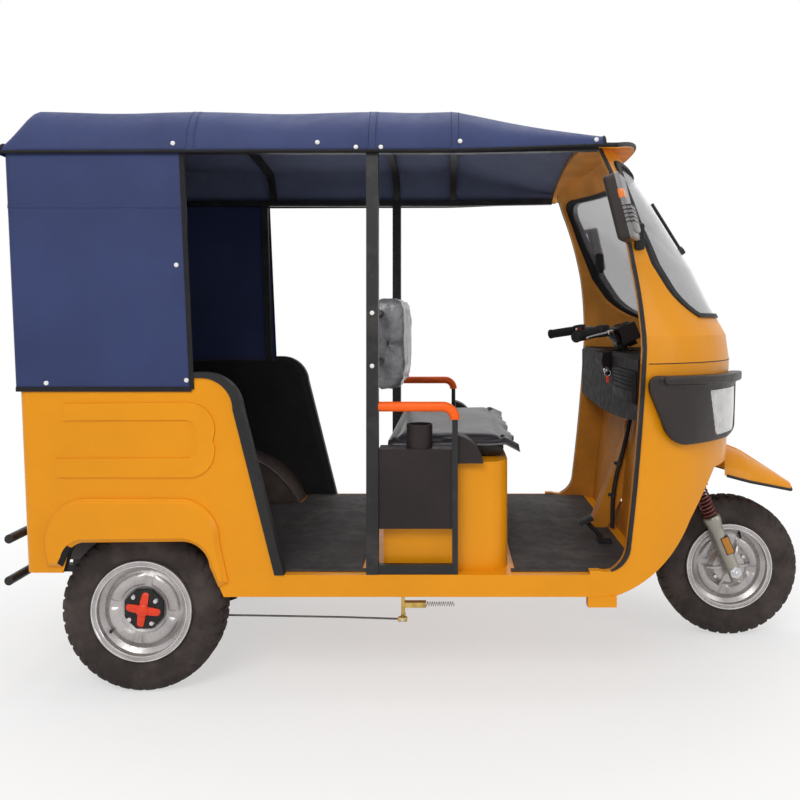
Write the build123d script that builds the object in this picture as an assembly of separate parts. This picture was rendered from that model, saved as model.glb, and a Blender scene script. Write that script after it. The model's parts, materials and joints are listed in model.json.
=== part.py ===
from build123d import *
import math
import os

# Millimetres, degrees. X forward, Y left, Z up, ground at Z 0, origin under the middle of the vehicle.

# Wheels
TYRE_R = 268.0
TYRE_HALF_W = 54.0
BEAD_R = 152.0
RIM_FLANGE_R = 166.0
RIM_HALF_W = 50.0
FRONT_AXLE_X = 1147.0
REAR_AXLE_X = -946.0
AXLE_Z = TYRE_R
HUB_BORE_GAP = 0.2
HUB_IN = 45.0
JOIN = 0.2
REAR_SHAFT_R = 15.0
FRONT_SHAFT_R = 10.0

# Body
HALF_W = 575.0
REAR_WHEEL_Y = HALF_W - 120.0
SKIN = 28.0
FLOOR_Z = 411.0
FLOOR_T = 10.0
SILL_H = 70.0
SILL_W = 40.0
SILL_LOW_Z = FLOOR_Z - SILL_H
TOE_H = 35.0
SILL_FRONT_X = 510.0
REAR_BODY_FRONT_X = -493.0
MAT_T = 6.0
MAT_HALF_W = HALF_W - 55.0

# Cab front, plan sections from the bottom up
CAB_BACK_X = 150.0
CAB_SEAM_Z = 1080.0
CAB_SECTIONS = [
    {"z": 290.0, "narrow": 1.0, "front_x": 1098.0, "front_more": -54.0, "corner_more": 76.0},
    {"z": 700.0, "narrow": 1.0, "front_x": 1118.0, "front_more": -54.0, "corner_more": 76.0},
    {"z": 1080.0, "narrow": 3.0, "front_x": 1130.0, "front_more": -52.0, "corner_more": 78.0},
    {"z": 1170.0, "narrow": 6.0, "front_x": 1118.0, "front_more": -59.0, "corner_more": 76.0},
    {"z": 1217.0, "narrow": 9.0, "front_x": 1092.0, "front_more": -71.0, "corner_more": 74.0},
    {"z": 1412.0, "narrow": 18.0, "front_x": 996.0, "front_more": -62.0, "corner_more": 83.0},
    {"z": 1600.0, "narrow": 19.0, "front_x": 868.0, "front_more": 74.0, "corner_more": -236.0},
    {"z": 1711.0, "narrow": 19.0, "front_x": 785.0, "front_more": 214.0, "corner_more": -396.0},
    {"z": 1850.0, "narrow": 19.0, "front_x": 690.0, "front_more": 214.0, "corner_more": -396.0},
]
DOOR_EDGE = [(560.0, 1775.0), (657.0, 1445.0), (688.0, 1130.0), (668.0, 830.0), (634.0, 500.0),
             (603.0, 436.0), (540.0, FLOOR_Z)]
EDGE_TRIM_W = 12.0
TRIM_PROUD = 5.0
TRIM_DEPTH = 10.0
ARCH_CHIN_X = 600.0
ARCH_MID = (745.0, 410.0)
ARCH_TURN = (868.0, 553.0)
ARCH_TOP = (985.0, 712.0)

# Headlamp pods, outlines in side view, and the lens in front view
POD_PROUD = 26.0
HOOD_PROUD = 46.0
LENS_PROUD = 22.0
LENS_BACK = 8.0
POD_IN_Y = HALF_W - 400.0
POD_OUTLINE = [(702.0, 1004.0), ((710.0, 1032.0), (738.0, 1043.0)), (1180.0, 1036.0), (1180.0, 850.0),
               (1040.0, 812.0), (838.0, 812.0), ((782.0, 836.0), (750.0, 886.0)), (704.0, 990.0),
               (702.0, 1004.0)]
HOOD_OUTLINE = [(765.0, 1014.0), ((750.0, 1028.0), (765.0, 1042.0)), (1200.0, 1036.0), (1200.0, 1004.0),
                (765.0, 1014.0)]
LENS_OUTER_Y = 145.0 - HALF_W
LENS_INNER_Y = 365.0 - HALF_W
LENS_OUTLINE = [(LENS_OUTER_Y, 985.0), (LENS_INNER_Y, 985.0),
                ((LENS_INNER_Y + 12.0, 950.0), (LENS_INNER_Y - 6.0, 850.0)),
                ((LENS_INNER_Y - 30.0, 834.0), (LENS_INNER_Y - 60.0, 830.0)), (LENS_OUTER_Y + 46.0, 830.0),
                ((LENS_OUTER_Y + 32.0, 836.0), (LENS_OUTER_Y + 25.0, 850.0)), (LENS_OUTER_Y, 985.0)]

# Roof brow
BROW_BACK_X = 540.0
BROW_SIDE_X = 600.0
BROW_FRONT_X = 760.0
BROW_HALF_W = HALF_W - 15.0
BROW_SIDE_Z = 1789.0
BROW_CROWN_Z = 1866.0
BROW_T = 16.0

# Windscreen, front view
SCREEN_TOP_Z = 1762.0
SCREEN_TOP_HALF_W = HALF_W - 101.0
SCREEN_MID_Z = 1340.0
SCREEN_MID_HALF_W = HALF_W - 133.0
SCREEN_FOOT_Z = 1232.0
SCREEN_FOOT_HALF_W = HALF_W - 201.0
SCREEN_BEND_OUT = 0.70
SCREEN_BEND_UP = 0.42
SCREEN_CORNER_R = 60.0
SEAL_W = 15.0
SEAL_PROUD = 7.0
GLASS_T = 6.0

# Rear body and curtains
TUB_LOW_Z = 341.0
TUB_TOP_Z = 1038.0
TUB_REAR_LOW_X = -1285.0
TUB_REAR_TOP_X = -1315.0
TUB_CORNER_R = 32.0
TUB_CORNER_LEAST = 3.0
ARCH_TOP_Z = 519.0
FLARE_PROUD = 20.0
FLARE_EDGE = 14.0
BEAD_PROUD = 5.0
TRIM_W = 30.0
CURTAIN_T = 5.0
CURTAIN_CORNER_R = 14.0
CURTAIN_GAP = 0.4
CURTAIN_LOW_Z = 1000.0
CURTAIN_TOP_Z = 1766.0
CURTAIN_REAR_TOP_X = -1356.0
PANEL_SPLIT_Y = HALF_W - 80.0

# Roof
RAIL_Z = 1784.0
RAIL_SIZE = 24.0
RAIL_IN = 8.0
RAIL_REAR_X = -1276.0
RAIL_BEND_X = 100.0
RAIL_RISE = 8.0
RAIL_TOP_Z = RAIL_Z - 4.0 - JOIN
RAIL_LOW_Z = RAIL_TOP_Z - RAIL_SIZE
CANOPY_T = 5.0
CANOPY_SECTIONS = [
    {"x": -1363.0, "wide": 12.0, "low_z": 1752.0, "turn_in": 19.0, "turn_z": 1770.0, "crown_z": 1782.0},
    {"x": -1292.0, "wide": 12.0, "low_z": 1752.0, "turn_in": 70.0, "turn_z": 1904.0, "crown_z": 1941.0},
    {"x": 81.0, "wide": 12.0, "low_z": 1756.0, "turn_in": 70.0, "turn_z": 1904.0, "crown_z": 1941.0},
    {"x": 562.0, "wide": 6.0, "low_z": 1775.0, "turn_in": 35.0, "turn_z": 1808.0, "crown_z": 1874.0},
]
BOW_XS = [-1270.0, -760.0, -183.0, 81.0]
BOW_T = 22.0
ROOF_POST_IN = 2.0

# Seats and pillars
PILLAR_X = -183.0
PILLAR_W = 38.0
CROSSBAR_ZS = [1076.0, 1245.0]
CROSSBAR_R = 13.0
ARM_POST_X = 81.0
ARM_POST_W = 18.0
ARM_POST_TOP_Z = 905.0
ARM_TOP_Z = 945.0
ARM_R = 16.0
ARM_Y = HALF_W - ARM_R - 1.0
SEAT_BOX_X0 = -150.0
SEAT_BOX_X1 = 256.0
SEAT_BOX_HALF_W = HALF_W - 49.0
SEAT_BOX_TOP_Z = FLOOR_Z + 351.0
SEAT_WALL = 15.0
BATTERY_H = 235.0
BATTERY_HALF_W = SEAT_BOX_HALF_W - 86.0
SEAT_POST_W = 60.0
CUSHION_T = 64.0
CUSHION_HALF_W = SEAT_BOX_HALF_W - 71.0
SIDE_TRAY_Z = SEAT_BOX_TOP_Z + 47.0
SIDE_PANEL_LOW_Z = SEAT_BOX_TOP_Z - 207.0
SIDE_PANEL_T = 10.0
SIDE_PANEL_IN = 10.0
TRAY_REACH = 50.0
HUMP_L = 82.0
HUMP_TOP_Z = SEAT_BOX_TOP_Z + 90.0
CUP_X = -34.0
CUP_Y = 6.0 - SEAT_BOX_HALF_W
CUP_R = 42.0
CUP_WALL = 4.0
CUP_H = 76.0
BACKREST_X0 = -207.0
BACKREST_X1 = -108.0
BACKREST_HALF_W = 260.0
BACKREST_LOW_Z = 985.0
BACKREST_TOP_Z = 1292.0

# Steering
RAKE = 23.0
STEER_X = 1104.0
FORK_OFFSET = 40.0
FORK_HALF_W = 95.0
CROWN_LOW = 335.0
CROWN_T = 40.0
STEM_TOP = 925.0
STEM_R = 20.0
FORK_ROD_R = 15.0
FORK_SPRING_R = 29.0
SLIDER_R = 25.0
SLIDER_LOW_Z = -50.0
SLIDER_ROOM_Z = 149.8
SLIDER_TOP_Z = 205.0
HEAD_R = 35.0
HEAD_LOW = 400.0
HEAD_TOP = 700.0
STRUT_HALF_W = 35.0
BAR_R = 12.0
BAR_BEND_R = 40.0
GRIP_R = 17.0
GRIP_L = 125.0
CLAMP_L = 44.0
CLAMP_W = 70.0
TOE_X = 720.0
PEDAL_Y = -240.0
CONSOLE_HALF_W = 88.0
DASH_SIDE_Z = 903.0
DASH_MID_Z = 868.0

# Front mudguard, sections from the cab forward
GUARD_T = 7.0
GUARD_ROWS = [
    {"x": 1000.0, "half_w": 165.0, "crown_z": 790.0, "edge_z": 668.0},
    {"x": 1200.0, "half_w": 128.0, "crown_z": 712.0, "edge_z": 612.0},
    {"x": 1396.0, "half_w": 40.0, "crown_z": 590.0, "edge_z": 562.0},
]

# Rear axle
AXLE_R = 32.0
SPRING_Y = 330.0
SPRING_HALF_L = 270.0
LEAF_T = 26.0
LEAF_RISE = 46.0
HOUSING_R = 370.0
HOUSING_T = 12.0
HOUSING_GAP = 23.0
RAIL_BEAM_REAR_X = -1246.0
RAIL_BEAM_FRONT_X = 640.0
RAIL_BEAM_W = 40.0
RAIL_BEAM_H = 60.0

# Rear bumper and tail lamps
BUMPER_X = -1400.0
BUMPER_HALF_W = HALF_W - 105.0
BUMPER_BARS = [{"z": 495.0, "r": 15.0}, {"z": 356.0, "r": 15.0}]
LAMP_OUT_Y = HALF_W - 115.0
LAMP_W = 80.0
LAMP_LOW_Z = 700.0
LAMP_H = 160.0
LAMP_PROUD = 20.0

# Mirrors, one row for each side, and the wiper
MIRRORS = [
    {"side": -1.0, "x": 585.0, "y": HALF_W + 107.0, "root_x": 655.0, "root_y": HALF_W - 105.0},
    {"side": 1.0, "x": 748.0, "y": HALF_W + 107.0, "root_x": 735.0, "root_y": HALF_W - 175.0},
]
MIRROR_Z = 1562.0
MIRROR_ARM_Z = 1478.0
MIRROR_ARM_R = 10.0
MIRROR_TILT = 14.0
MIRROR_YAW = 25.0
MIRROR_T = 50.0
MIRROR_W = 100.0
MIRROR_H = 205.0
MIRROR_ROUND = 14.0
GLASS_MARGIN = 34.0
WIPER_Y = -120.0

# Bolt holes for a passenger bench, and for a number plate
BENCH_X = -920.0
BENCH_DX = 300.0
BENCH_DY = 500.0
BENCH_HOLE_R = 4.5
PLATE_Z = 620.0
PLATE_DY = 140.0
PLATE_HOLE_R = 3.5

ON_BASE = (Align.CENTER, Align.CENTER, Align.MIN)
NODES = {}


def block(x0, x1, y0, y1, z0, z1):
    return Pos((x0 + x1) / 2, (y0 + y1) / 2, (z0 + z1) / 2) * Box(x1 - x0, y1 - y0, z1 - z0)


def mirrored(shape):
    return mirror(shape, about=Plane.XZ)


def pair(shape):
    return Compound([solid for half in (shape, mirrored(shape)) for solid in half.solids()])


def path_edges(points):
    # A point is a line's end; a pair of points is an arc's middle and end.
    edges = []
    here = points[0]
    for step in points[1:]:
        if isinstance(step[0], tuple):
            edges.append(ThreePointArc(here, step[0], step[1]).edge())
            here = step[1]
        else:
            edges.append(Line(here, step).edge())
            here = step
    return edges


def lifted(steps, place):
    out = []
    for step in steps:
        if isinstance(step[0], tuple):
            out.append((place(step[0]), place(step[1])))
        else:
            out.append(place(step))
    return out


def side_plate(steps, y0, y1):
    # An outline in X and Z, closed by its last point, as a plate between two Y values.
    edges = path_edges(lifted(steps, lambda p: (p[0], y0, p[1])))
    return extrude(Face(Wire(edges)), amount=y1 - y0, dir=(0, 1, 0))


def front_plate(steps, x0, x1):
    # An outline in Y and Z as a plate between two X values.
    edges = path_edges(lifted(steps, lambda p: (x0, p[0], p[1])))
    return extrude(Face(Wire(edges)), amount=x1 - x0, dir=(1, 0, 0))


def tube(p, q, r):
    a = Vector(*p)
    b = Vector(*q)
    run = b - a
    return Plane(origin=a, z_dir=run) * Cylinder(r, run.length, align=ON_BASE)


def y_disc(x, z, r, y0, y1):
    return tube((x, y0, z), (x, y1, z), r)


def cab_face(row, z, inset):
    w = HALF_W - row["narrow"] - inset
    fx = row["front_x"] - inset
    r = w + row["front_more"]
    c = w + row["corner_more"]
    s = (w - c) / (r - c)
    k = math.sqrt(1.0 - s * s)
    turn = math.asin(s)
    cx = fx - r + (r - c) * k
    cy = w - c
    mid = (math.pi / 2 + turn) / 2
    join = (fx - r + r * k, r * s)
    bend = (cx + c * math.cos(mid), cy + c * math.sin(mid))
    back = CAB_BACK_X
    far = (cx, w)
    pts = [(back, -w), (cx, -w), ((bend[0], -bend[1]), (join[0], -join[1])), ((fx, 0.0), join),
           (bend, far), (back, w), (back, -w)]
    edges = path_edges(lifted(pts, lambda p: (p[0], p[1], z)))
    return Face(Wire(edges))


def cab_form(inset):
    rows = CAB_SECTIONS
    faces = []
    for i, row in enumerate(rows):
        z = row["z"]
        if inset > 0 and i == 0:
            z -= 5.0
        if inset > 0 and i == len(rows) - 1:
            z += 5.0
        faces.append(cab_face(row, z, inset))
    return loft(faces, ruled=True)


def tub_face(z, x_rear, half_w, r, x_front):
    pts = [(x_front, -half_w), (x_rear + r, -half_w)]
    k = r * (1.0 - math.sqrt(0.5))
    pts.append(((x_rear + k, -half_w + k), (x_rear, -half_w + r)))
    pts.append((x_rear, half_w - r))
    pts.append(((x_rear + k, half_w - k), (x_rear + r, half_w)))
    pts.append((x_front, half_w))
    pts.append((x_front, -half_w))
    return Face(Wire(path_edges(lifted(pts, lambda p: (p[0], p[1], z)))))


def tub_form(z0, rear0, z1, rear1, half_w, inset, x_front, corner_r=TUB_CORNER_R):
    r = max(corner_r - inset, TUB_CORNER_LEAST)
    low = tub_face(z0, rear0 + inset, half_w - inset, r, x_front)
    high = tub_face(z1, rear1 + inset, half_w - inset, r, x_front)
    return loft([low, high], ruled=True)


def canopy_face(row, x, inset, drop):
    w = HALF_W + row["wide"] - inset
    low = row["low_z"] - drop
    ty = HALF_W - row["turn_in"] - inset * 0.6
    tz = row["turn_z"] - inset
    crown = row["crown_z"] - inset
    bulge = (w * 0.55 + ty * 0.45 + 4.0, low * 0.3 + tz * 0.7)
    if tz - row["low_z"] < 60.0:
        bulge = (w - 3.0, low * 0.4 + tz * 0.6)
    pts = [(w, low), (bulge, (ty, tz)), ((0.0, crown), (-ty, tz)), ((-bulge[0], bulge[1]), (-w, low)),
           (w, low)]
    return Face(Wire(path_edges(lifted(pts, lambda p: (x, p[0], p[1])))))


def canopy_form(inset, drop, rear_x, front_x):
    faces = []
    last = len(CANOPY_SECTIONS) - 1
    for i, row in enumerate(CANOPY_SECTIONS):
        x = row["x"]
        if i == 0:
            x = rear_x
        if i == last:
            x = front_x
        faces.append(canopy_face(row, x, inset, drop))
    return loft(faces, ruled=True)


# Cab shells
cab_outer = cab_form(0.0)
cab_inner = cab_form(SKIN)
cab_wall = cab_outer - cab_inner


def cab_outline(shift):
    steps = [(p[0] + shift, p[1]) for p in DOOR_EDGE]
    sill_x = SILL_FRONT_X + shift * 0.02
    foot = (DOOR_EDGE[6][0], FLOOR_Z + shift)
    return [steps[0], (steps[1], steps[2]), (steps[3], steps[4]), (steps[5], foot), (sill_x, FLOOR_Z + shift),
            (sill_x, SILL_LOW_Z), (ARCH_CHIN_X, SILL_LOW_Z), (ARCH_MID, ARCH_TURN), ARCH_TOP,
            (1500.0, ARCH_TOP[1] + 20.0), (1500.0, 1900.0), (steps[0][0] - 30.0, 1900.0), steps[0]]


cab_keep = side_plate(cab_outline(EDGE_TRIM_W), -700.0, 700.0)
trim_keep = side_plate(cab_outline(0.0), -700.0, 700.0)


def brow_band(top_drop, low_drop):
    w = BROW_HALF_W
    steps = [(-w, BROW_SIDE_Z - top_drop), ((0.0, BROW_CROWN_Z - top_drop), (w, BROW_SIDE_Z - top_drop)),
             (w, BROW_SIDE_Z - low_drop), ((0.0, BROW_CROWN_Z - low_drop), (-w, BROW_SIDE_Z - low_drop)),
             (-w, BROW_SIDE_Z - top_drop)]
    return front_plate(steps, 400.0, 900.0)


brow_plan_edges = path_edges([(BROW_BACK_X, -BROW_HALF_W, 1600.0), (BROW_SIDE_X, -BROW_HALF_W, 1600.0),
                              ((BROW_FRONT_X, 0.0, 1600.0), (BROW_SIDE_X, BROW_HALF_W, 1600.0)),
                              (BROW_BACK_X, BROW_HALF_W, 1600.0), (BROW_BACK_X, -BROW_HALF_W, 1600.0)])
brow_plan = extrude(Face(Wire(brow_plan_edges)), amount=400.0, dir=(0, 0, 1))
NODES["roof_brow"] = brow_plan & brow_band(0.0, BROW_T)
above_brow = brow_band(-200.0, BROW_T)


def screen_steps(inset):
    tw = SCREEN_TOP_HALF_W - inset
    mw = SCREEN_MID_HALF_W - inset
    fw = SCREEN_FOOT_HALF_W - inset * 0.5
    mid = SCREEN_MID_Z
    top = SCREEN_TOP_Z - inset
    foot = SCREEN_FOOT_Z + inset
    r = SCREEN_CORNER_R
    k = r * (1.0 - math.sqrt(0.5))
    bend = (fw + (mw - fw) * SCREEN_BEND_OUT, foot + (mid - foot) * SCREEN_BEND_UP)
    return [(mw, mid), (tw, top - r), ((tw - k, top - k), (tw - r, top)), (r - tw, top),
            ((k - tw, top - k), (-tw, top - r)), (-mw, mid), ((-bend[0], bend[1]), (-fw, foot)),
            (fw, foot), (bend, (mw, mid))]


screen_hole = front_plate(screen_steps(0.0), 500.0, 1500.0)
screen_inside = front_plate(screen_steps(SEAL_W), 500.0, 1500.0)
edge_lip = (cab_form(TRIM_DEPTH) - cab_inner) & trim_keep
cab_all = ((cab_wall & cab_keep) + edge_lip) - above_brow
upper = cab_all - block(200, 1500, -700, 700, 200, CAB_SEAM_Z) - screen_hole
lower = cab_all & block(200, 1500, -700, 700, 200, CAB_SEAM_Z)
NODES["cab_upper_shell"] = upper
seal_wall = cab_form(-SEAL_PROUD) - cab_form(SKIN * 0.6)
NODES["windscreen_seal"] = (seal_wall & screen_hole) - screen_inside
NODES["windscreen"] = (cab_form(4.0) - cab_form(4.0 + GLASS_T)) & screen_inside

trim_wall = cab_form(-TRIM_PROUD) - cab_form(TRIM_DEPTH - JOIN)
trim = (trim_wall & trim_keep) - cab_keep - above_brow
trim = trim & block(SILL_FRONT_X, 900, -700, 700, FLOOR_Z, 1900)
NODES["cab_edge_trims"] = Compound(trim.solids())

# Headlamp pods stand out of the lower cab's front corners, with a hood over the lens
pod_wall = cab_form(-POD_PROUD) - cab_form(-JOIN)
pod_side = side_plate(POD_OUTLINE, -2 * HALF_W, -POD_IN_Y)
hood_wall = cab_form(-HOOD_PROUD) - cab_form(-JOIN)
hood_side = side_plate(HOOD_OUTLINE, -2 * HALF_W, -POD_IN_Y)
lens_cut = front_plate(LENS_OUTLINE, 700.0, 1400.0)
lens_room = (cab_form(-HOOD_PROUD - 20.0) - cab_form(-LENS_BACK)) & lens_cut
pod = ((pod_wall & pod_side) + (hood_wall & hood_side)) - lens_room
lens = (cab_form(-LENS_PROUD) - cab_form(-LENS_BACK - JOIN)) & lens_cut
NODES["headlamp_pods"] = pair(pod)
NODES["headlamp_lenses"] = pair(lens)

# Lower shell with its toe blocks
toe = block(SILL_FRONT_X - 5.0, ARCH_CHIN_X - 3.0, HALF_W - 37.0, HALF_W - 4.0, SILL_LOW_Z - TOE_H,
            SILL_LOW_Z)
lower = lower + toe + mirrored(toe)
NODES["cab_lower_shell"] = lower

# Steering frame, local x forward, local z up the steering axis
lean = math.radians(RAKE)
axis_up = (-math.sin(lean), 0.0, math.cos(lean))
axis_front = (math.cos(lean), 0.0, math.sin(lean))
steer = Plane(origin=(STEER_X, 0, AXLE_Z), x_dir=axis_front, z_dir=axis_up)


def axis_point(x, y, z):
    p = steer.from_local_coords(Vector(x, y, z))
    return (p.X, p.Y, p.Z)


def along_axis(x, y, z0, z1, r):
    # A cylinder parallel to the steering axis, by its local place and ends.
    return steer * (Pos(x, y, z0) * Cylinder(r, z1 - z0, align=ON_BASE))


stem = along_axis(0.0, 0.0, CROWN_LOW, STEM_TOP, STEM_R)
crown = Box(FORK_OFFSET + 60, 2 * FORK_HALF_W + 70, CROWN_T)
stem = stem + steer * (Pos(FORK_OFFSET / 2, 0, CROWN_LOW + CROWN_T / 2) * crown)
for side in (-1, 1):
    stem = stem + along_axis(FORK_OFFSET, side * FORK_HALF_W, SLIDER_ROOM_Z + JOIN, CROWN_LOW, FORK_ROD_R)
NODES["steering_stem"] = stem

slider = along_axis(FORK_OFFSET, -FORK_HALF_W, SLIDER_LOW_Z, SLIDER_TOP_Z, SLIDER_R)
slider = slider - along_axis(FORK_OFFSET, -FORK_HALF_W, SLIDER_ROOM_Z, SLIDER_TOP_Z + 50.0, FORK_ROD_R + JOIN)
axle_reach = FORK_HALF_W + 35.0
axle_bar = y_disc(FRONT_AXLE_X, AXLE_Z, FRONT_SHAFT_R, -axle_reach, axle_reach)
NODES["fork_sliders"] = slider + mirrored(slider) + axle_bar

springs = []
for side in (-1, 1):
    y = side * FORK_HALF_W
    sleeve = along_axis(FORK_OFFSET, y, SLIDER_TOP_Z + JOIN, CROWN_LOW - JOIN, FORK_SPRING_R)
    sleeve = sleeve - along_axis(FORK_OFFSET, y, SLIDER_ROOM_Z, CROWN_LOW + 50.0, FORK_ROD_R + JOIN)
    springs = springs + sleeve.solids()
NODES["fork_springs"] = Compound(springs)

# Handlebar
bar_mid = axis_point(0.0, 0.0, STEM_TOP + BAR_R)
bar_points = [(bar_mid[0], 0.0, bar_mid[2]), (690.0, -115.0, 1186.0), (632.0, -225.0, 1186.0),
              (505.0, -330.0, 1163.0)]
bar_left = [(x, -y, z) for x, y, z in bar_points]
bar_path = FilletPolyline(*(list(reversed(bar_points)) + bar_left[1:]), radius=BAR_BEND_R)
grip_end = Vector(*bar_points[3])
grip_dir = (Vector(*bar_points[2]) - grip_end).normalized()
bar = sweep(Plane(origin=grip_end, z_dir=grip_dir) * Circle(BAR_R), path=bar_path)
grip_start = grip_end + grip_dir * GRIP_L
grip = tube((grip_start.X, grip_start.Y, grip_start.Z), bar_points[3], GRIP_R)
bar = bar + grip + mirrored(grip)
clamp_h = 2 * BAR_R + 8.0
clamp_place = Pos(0, 0, STEM_TOP + BAR_R)
clamp = steer * (clamp_place * Box(CLAMP_L, CLAMP_W, clamp_h))
clamp = clamp - along_axis(0.0, 0.0, STEM_TOP - 50.0, STEM_TOP + JOIN, 60.0)
NODES["handlebar"] = bar + clamp
cluster = steer * (Pos(32.0, 0, STEM_TOP + 45.0) * Box(72.0, 150.0, 66.0))
cluster = cluster + steer * (Pos(40.0, 0, STEM_TOP + 20.0) * Box(30.0, 60.0, 60.0))
bar_room = sweep(Plane(origin=grip_end, z_dir=grip_dir) * Circle(BAR_R + 2 * JOIN), path=bar_path)
clamp_room = steer * (clamp_place * Box(CLAMP_L + 4 * JOIN, CLAMP_W + 4 * JOIN, clamp_h + 4 * JOIN))
NODES["instrument_pod"] = cluster - bar_room - clamp_room

# Steering head and strut
head = along_axis(0.0, 0.0, HEAD_LOW, HEAD_TOP, HEAD_R)
head_bore = along_axis(0.0, 0.0, HEAD_LOW - 50.0, HEAD_TOP + 50.0, STEM_R + 0.3)
strut = side_plate([(612.0, FLOOR_Z), (672.0, FLOOR_Z), (872.0, 800.0), (845.0, 850.0), (780.0, 835.0),
                    (612.0, FLOOR_Z)], -STRUT_HALF_W, STRUT_HALF_W)
NODES["steering_head"] = (head + strut) - head_bore

# Floor pan with sills
housing_y = REAR_WHEEL_Y - TYRE_HALF_W - HOUSING_GAP
tub_in_y = HALF_W - SKIN
housing_front_x = REAR_AXLE_X + math.sqrt(HOUSING_R ** 2 - (FLOOR_Z - FLOOR_T - AXLE_Z) ** 2)
tub_in_rear_x = TUB_REAR_LOW_X + SKIN - 3.0
floor_low = FLOOR_Z - FLOOR_T
pan = block(REAR_BODY_FRONT_X, SILL_FRONT_X, -HALF_W, HALF_W, floor_low, FLOOR_Z)
for side in (-1, 1):
    ys = sorted([side * HALF_W, side * (HALF_W - SILL_W)])
    pan = pan + block(REAR_BODY_FRONT_X, SILL_FRONT_X, ys[0], ys[1], SILL_LOW_Z, floor_low)
front_floor = block(SILL_FRONT_X, TOE_X, -600, 600, floor_low, FLOOR_Z) & cab_form(SKIN)
rear_floor = block(housing_front_x + 0.3, REAR_BODY_FRONT_X, -tub_in_y, tub_in_y, floor_low, FLOOR_Z)
rear_floor = rear_floor + block(tub_in_rear_x + 6.0, housing_front_x + 0.3, -housing_y, housing_y, floor_low,
                                FLOOR_Z)
floor = pan + front_floor + rear_floor
for x in (BENCH_X - BENCH_DX / 2, BENCH_X + BENCH_DX / 2):
    for y in (-BENCH_DY / 2, BENCH_DY / 2):
        floor = floor - tube((x, y, floor_low - 5.0), (x, y, FLOOR_Z + 5.0), BENCH_HOLE_R)
NODES["floor_pan"] = floor

# Toe board between the cab walls
toe_plate = side_plate([(TOE_X, floor_low), (TOE_X + 6.0, floor_low), (776.0, 880.0), (770.0, 880.0),
                        (TOE_X, floor_low)], -600.0, 600.0)
strut_room = side_plate([(596.0, FLOOR_Z - 20), (678.0, FLOOR_Z - 20), (880.0, 800.0), (845.0, 860.0),
                         (770.0, 840.0), (596.0, FLOOR_Z - 20)], -STRUT_HALF_W - 1.0, STRUT_HALF_W + 1.0)
head_room = along_axis(0.0, 0.0, HEAD_LOW - 50.0, HEAD_TOP + 50.0, HEAD_R + 1.0)
NODES["toe_board"] = (toe_plate & cab_form(SKIN)) - strut_room - head_room

# Dashboard between the cab walls, with a hole for the column
dash = side_plate([(676.0, 860.0), (690.0, 860.0), (690.0, 1090.0), (1000.0, 1094.0), (1000.0, 1104.0),
                   (690.0, 1104.0), (676.0, 1090.0), (676.0, 860.0)], -600.0, 600.0)
dash_keep = front_plate([(-600.0, DASH_SIDE_Z), ((0.0, DASH_MID_Z), (600.0, DASH_SIDE_Z)), (600.0, 1200.0),
                         (-600.0, 1200.0), (-600.0, DASH_SIDE_Z)], 500.0, 1500.0)
dash = dash & dash_keep & cab_form(SKIN)
column = along_axis(0.0, 0.0, 500.0, 1100.0, 58.0)
console = side_plate([(684.0, 1002.0), (658.0, 1022.0), (644.0, 1066.0), (650.0, 1098.0), (684.0, 1103.0),
                      (684.0, 1002.0)], -CONSOLE_HALF_W, CONSOLE_HALF_W)
NODES["dashboard"] = (dash - column) + console

# Front mudguard
def guard_face(x, half_w, crown_z, edge_z, inset):
    w = half_w - inset
    steps = [(-w, edge_z), ((0.0, crown_z - inset), (w, edge_z)), (-w, edge_z)]
    return Face(Wire(path_edges(lifted(steps, lambda p: (x, p[0], p[1])))))




def guard_form(inset, drop):
    faces = []
    for row in GUARD_ROWS:
        faces.append(guard_face(row["x"], row["half_w"], row["crown_z"], row["edge_z"] - drop, inset))
    return loft(faces, ruled=True)


NODES["front_mudguard"] = (guard_form(0.0, 0.0) - guard_form(GUARD_T, GUARD_T + 1.0)) - cab_form(-JOIN)

# Pillars with the driver's seat frame
p_in = HALF_W - PILLAR_W
half_p = PILLAR_W / 2
pillar = block(PILLAR_X - half_p, PILLAR_X + half_p, p_in, HALF_W, FLOOR_Z, RAIL_LOW_Z)
NODES["b_pillars"] = pair(pillar)
bars = [tube((PILLAR_X, -p_in, z), (PILLAR_X, p_in, z), CROSSBAR_R) for z in CROSSBAR_ZS]
NODES["backrest_bars"] = Compound([bar.solid() for bar in bars])
post_y0 = HALF_W - 26.0
post_y1 = HALF_W - 4.0
half_post = ARM_POST_W / 2
post = block(ARM_POST_X - half_post, ARM_POST_X + half_post, post_y0, post_y1, FLOOR_Z, ARM_POST_TOP_Z)
low_bar = block(PILLAR_X + half_p, ARM_POST_X, post_y0, post_y1, FLOOR_Z, FLOOR_Z + 30.0)
NODES["arm_posts"] = pair(post + low_bar)

# Armrests
arm_turn = (ARM_POST_X - 30.0, ARM_Y, ARM_TOP_Z)
arm = tube((PILLAR_X + half_p, ARM_Y, ARM_TOP_Z), arm_turn, ARM_R)
arm = arm + tube(arm_turn, (ARM_POST_X, ARM_Y, ARM_POST_TOP_Z), ARM_R) + Pos(*arm_turn) * Sphere(ARM_R)
arm_foot = ARM_POST_TOP_Z
arm = arm - block(ARM_POST_X - 60, ARM_POST_X + 60, ARM_Y - 40, ARM_Y + 40, arm_foot - 60, arm_foot)
NODES["armrests"] = pair(arm)

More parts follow.
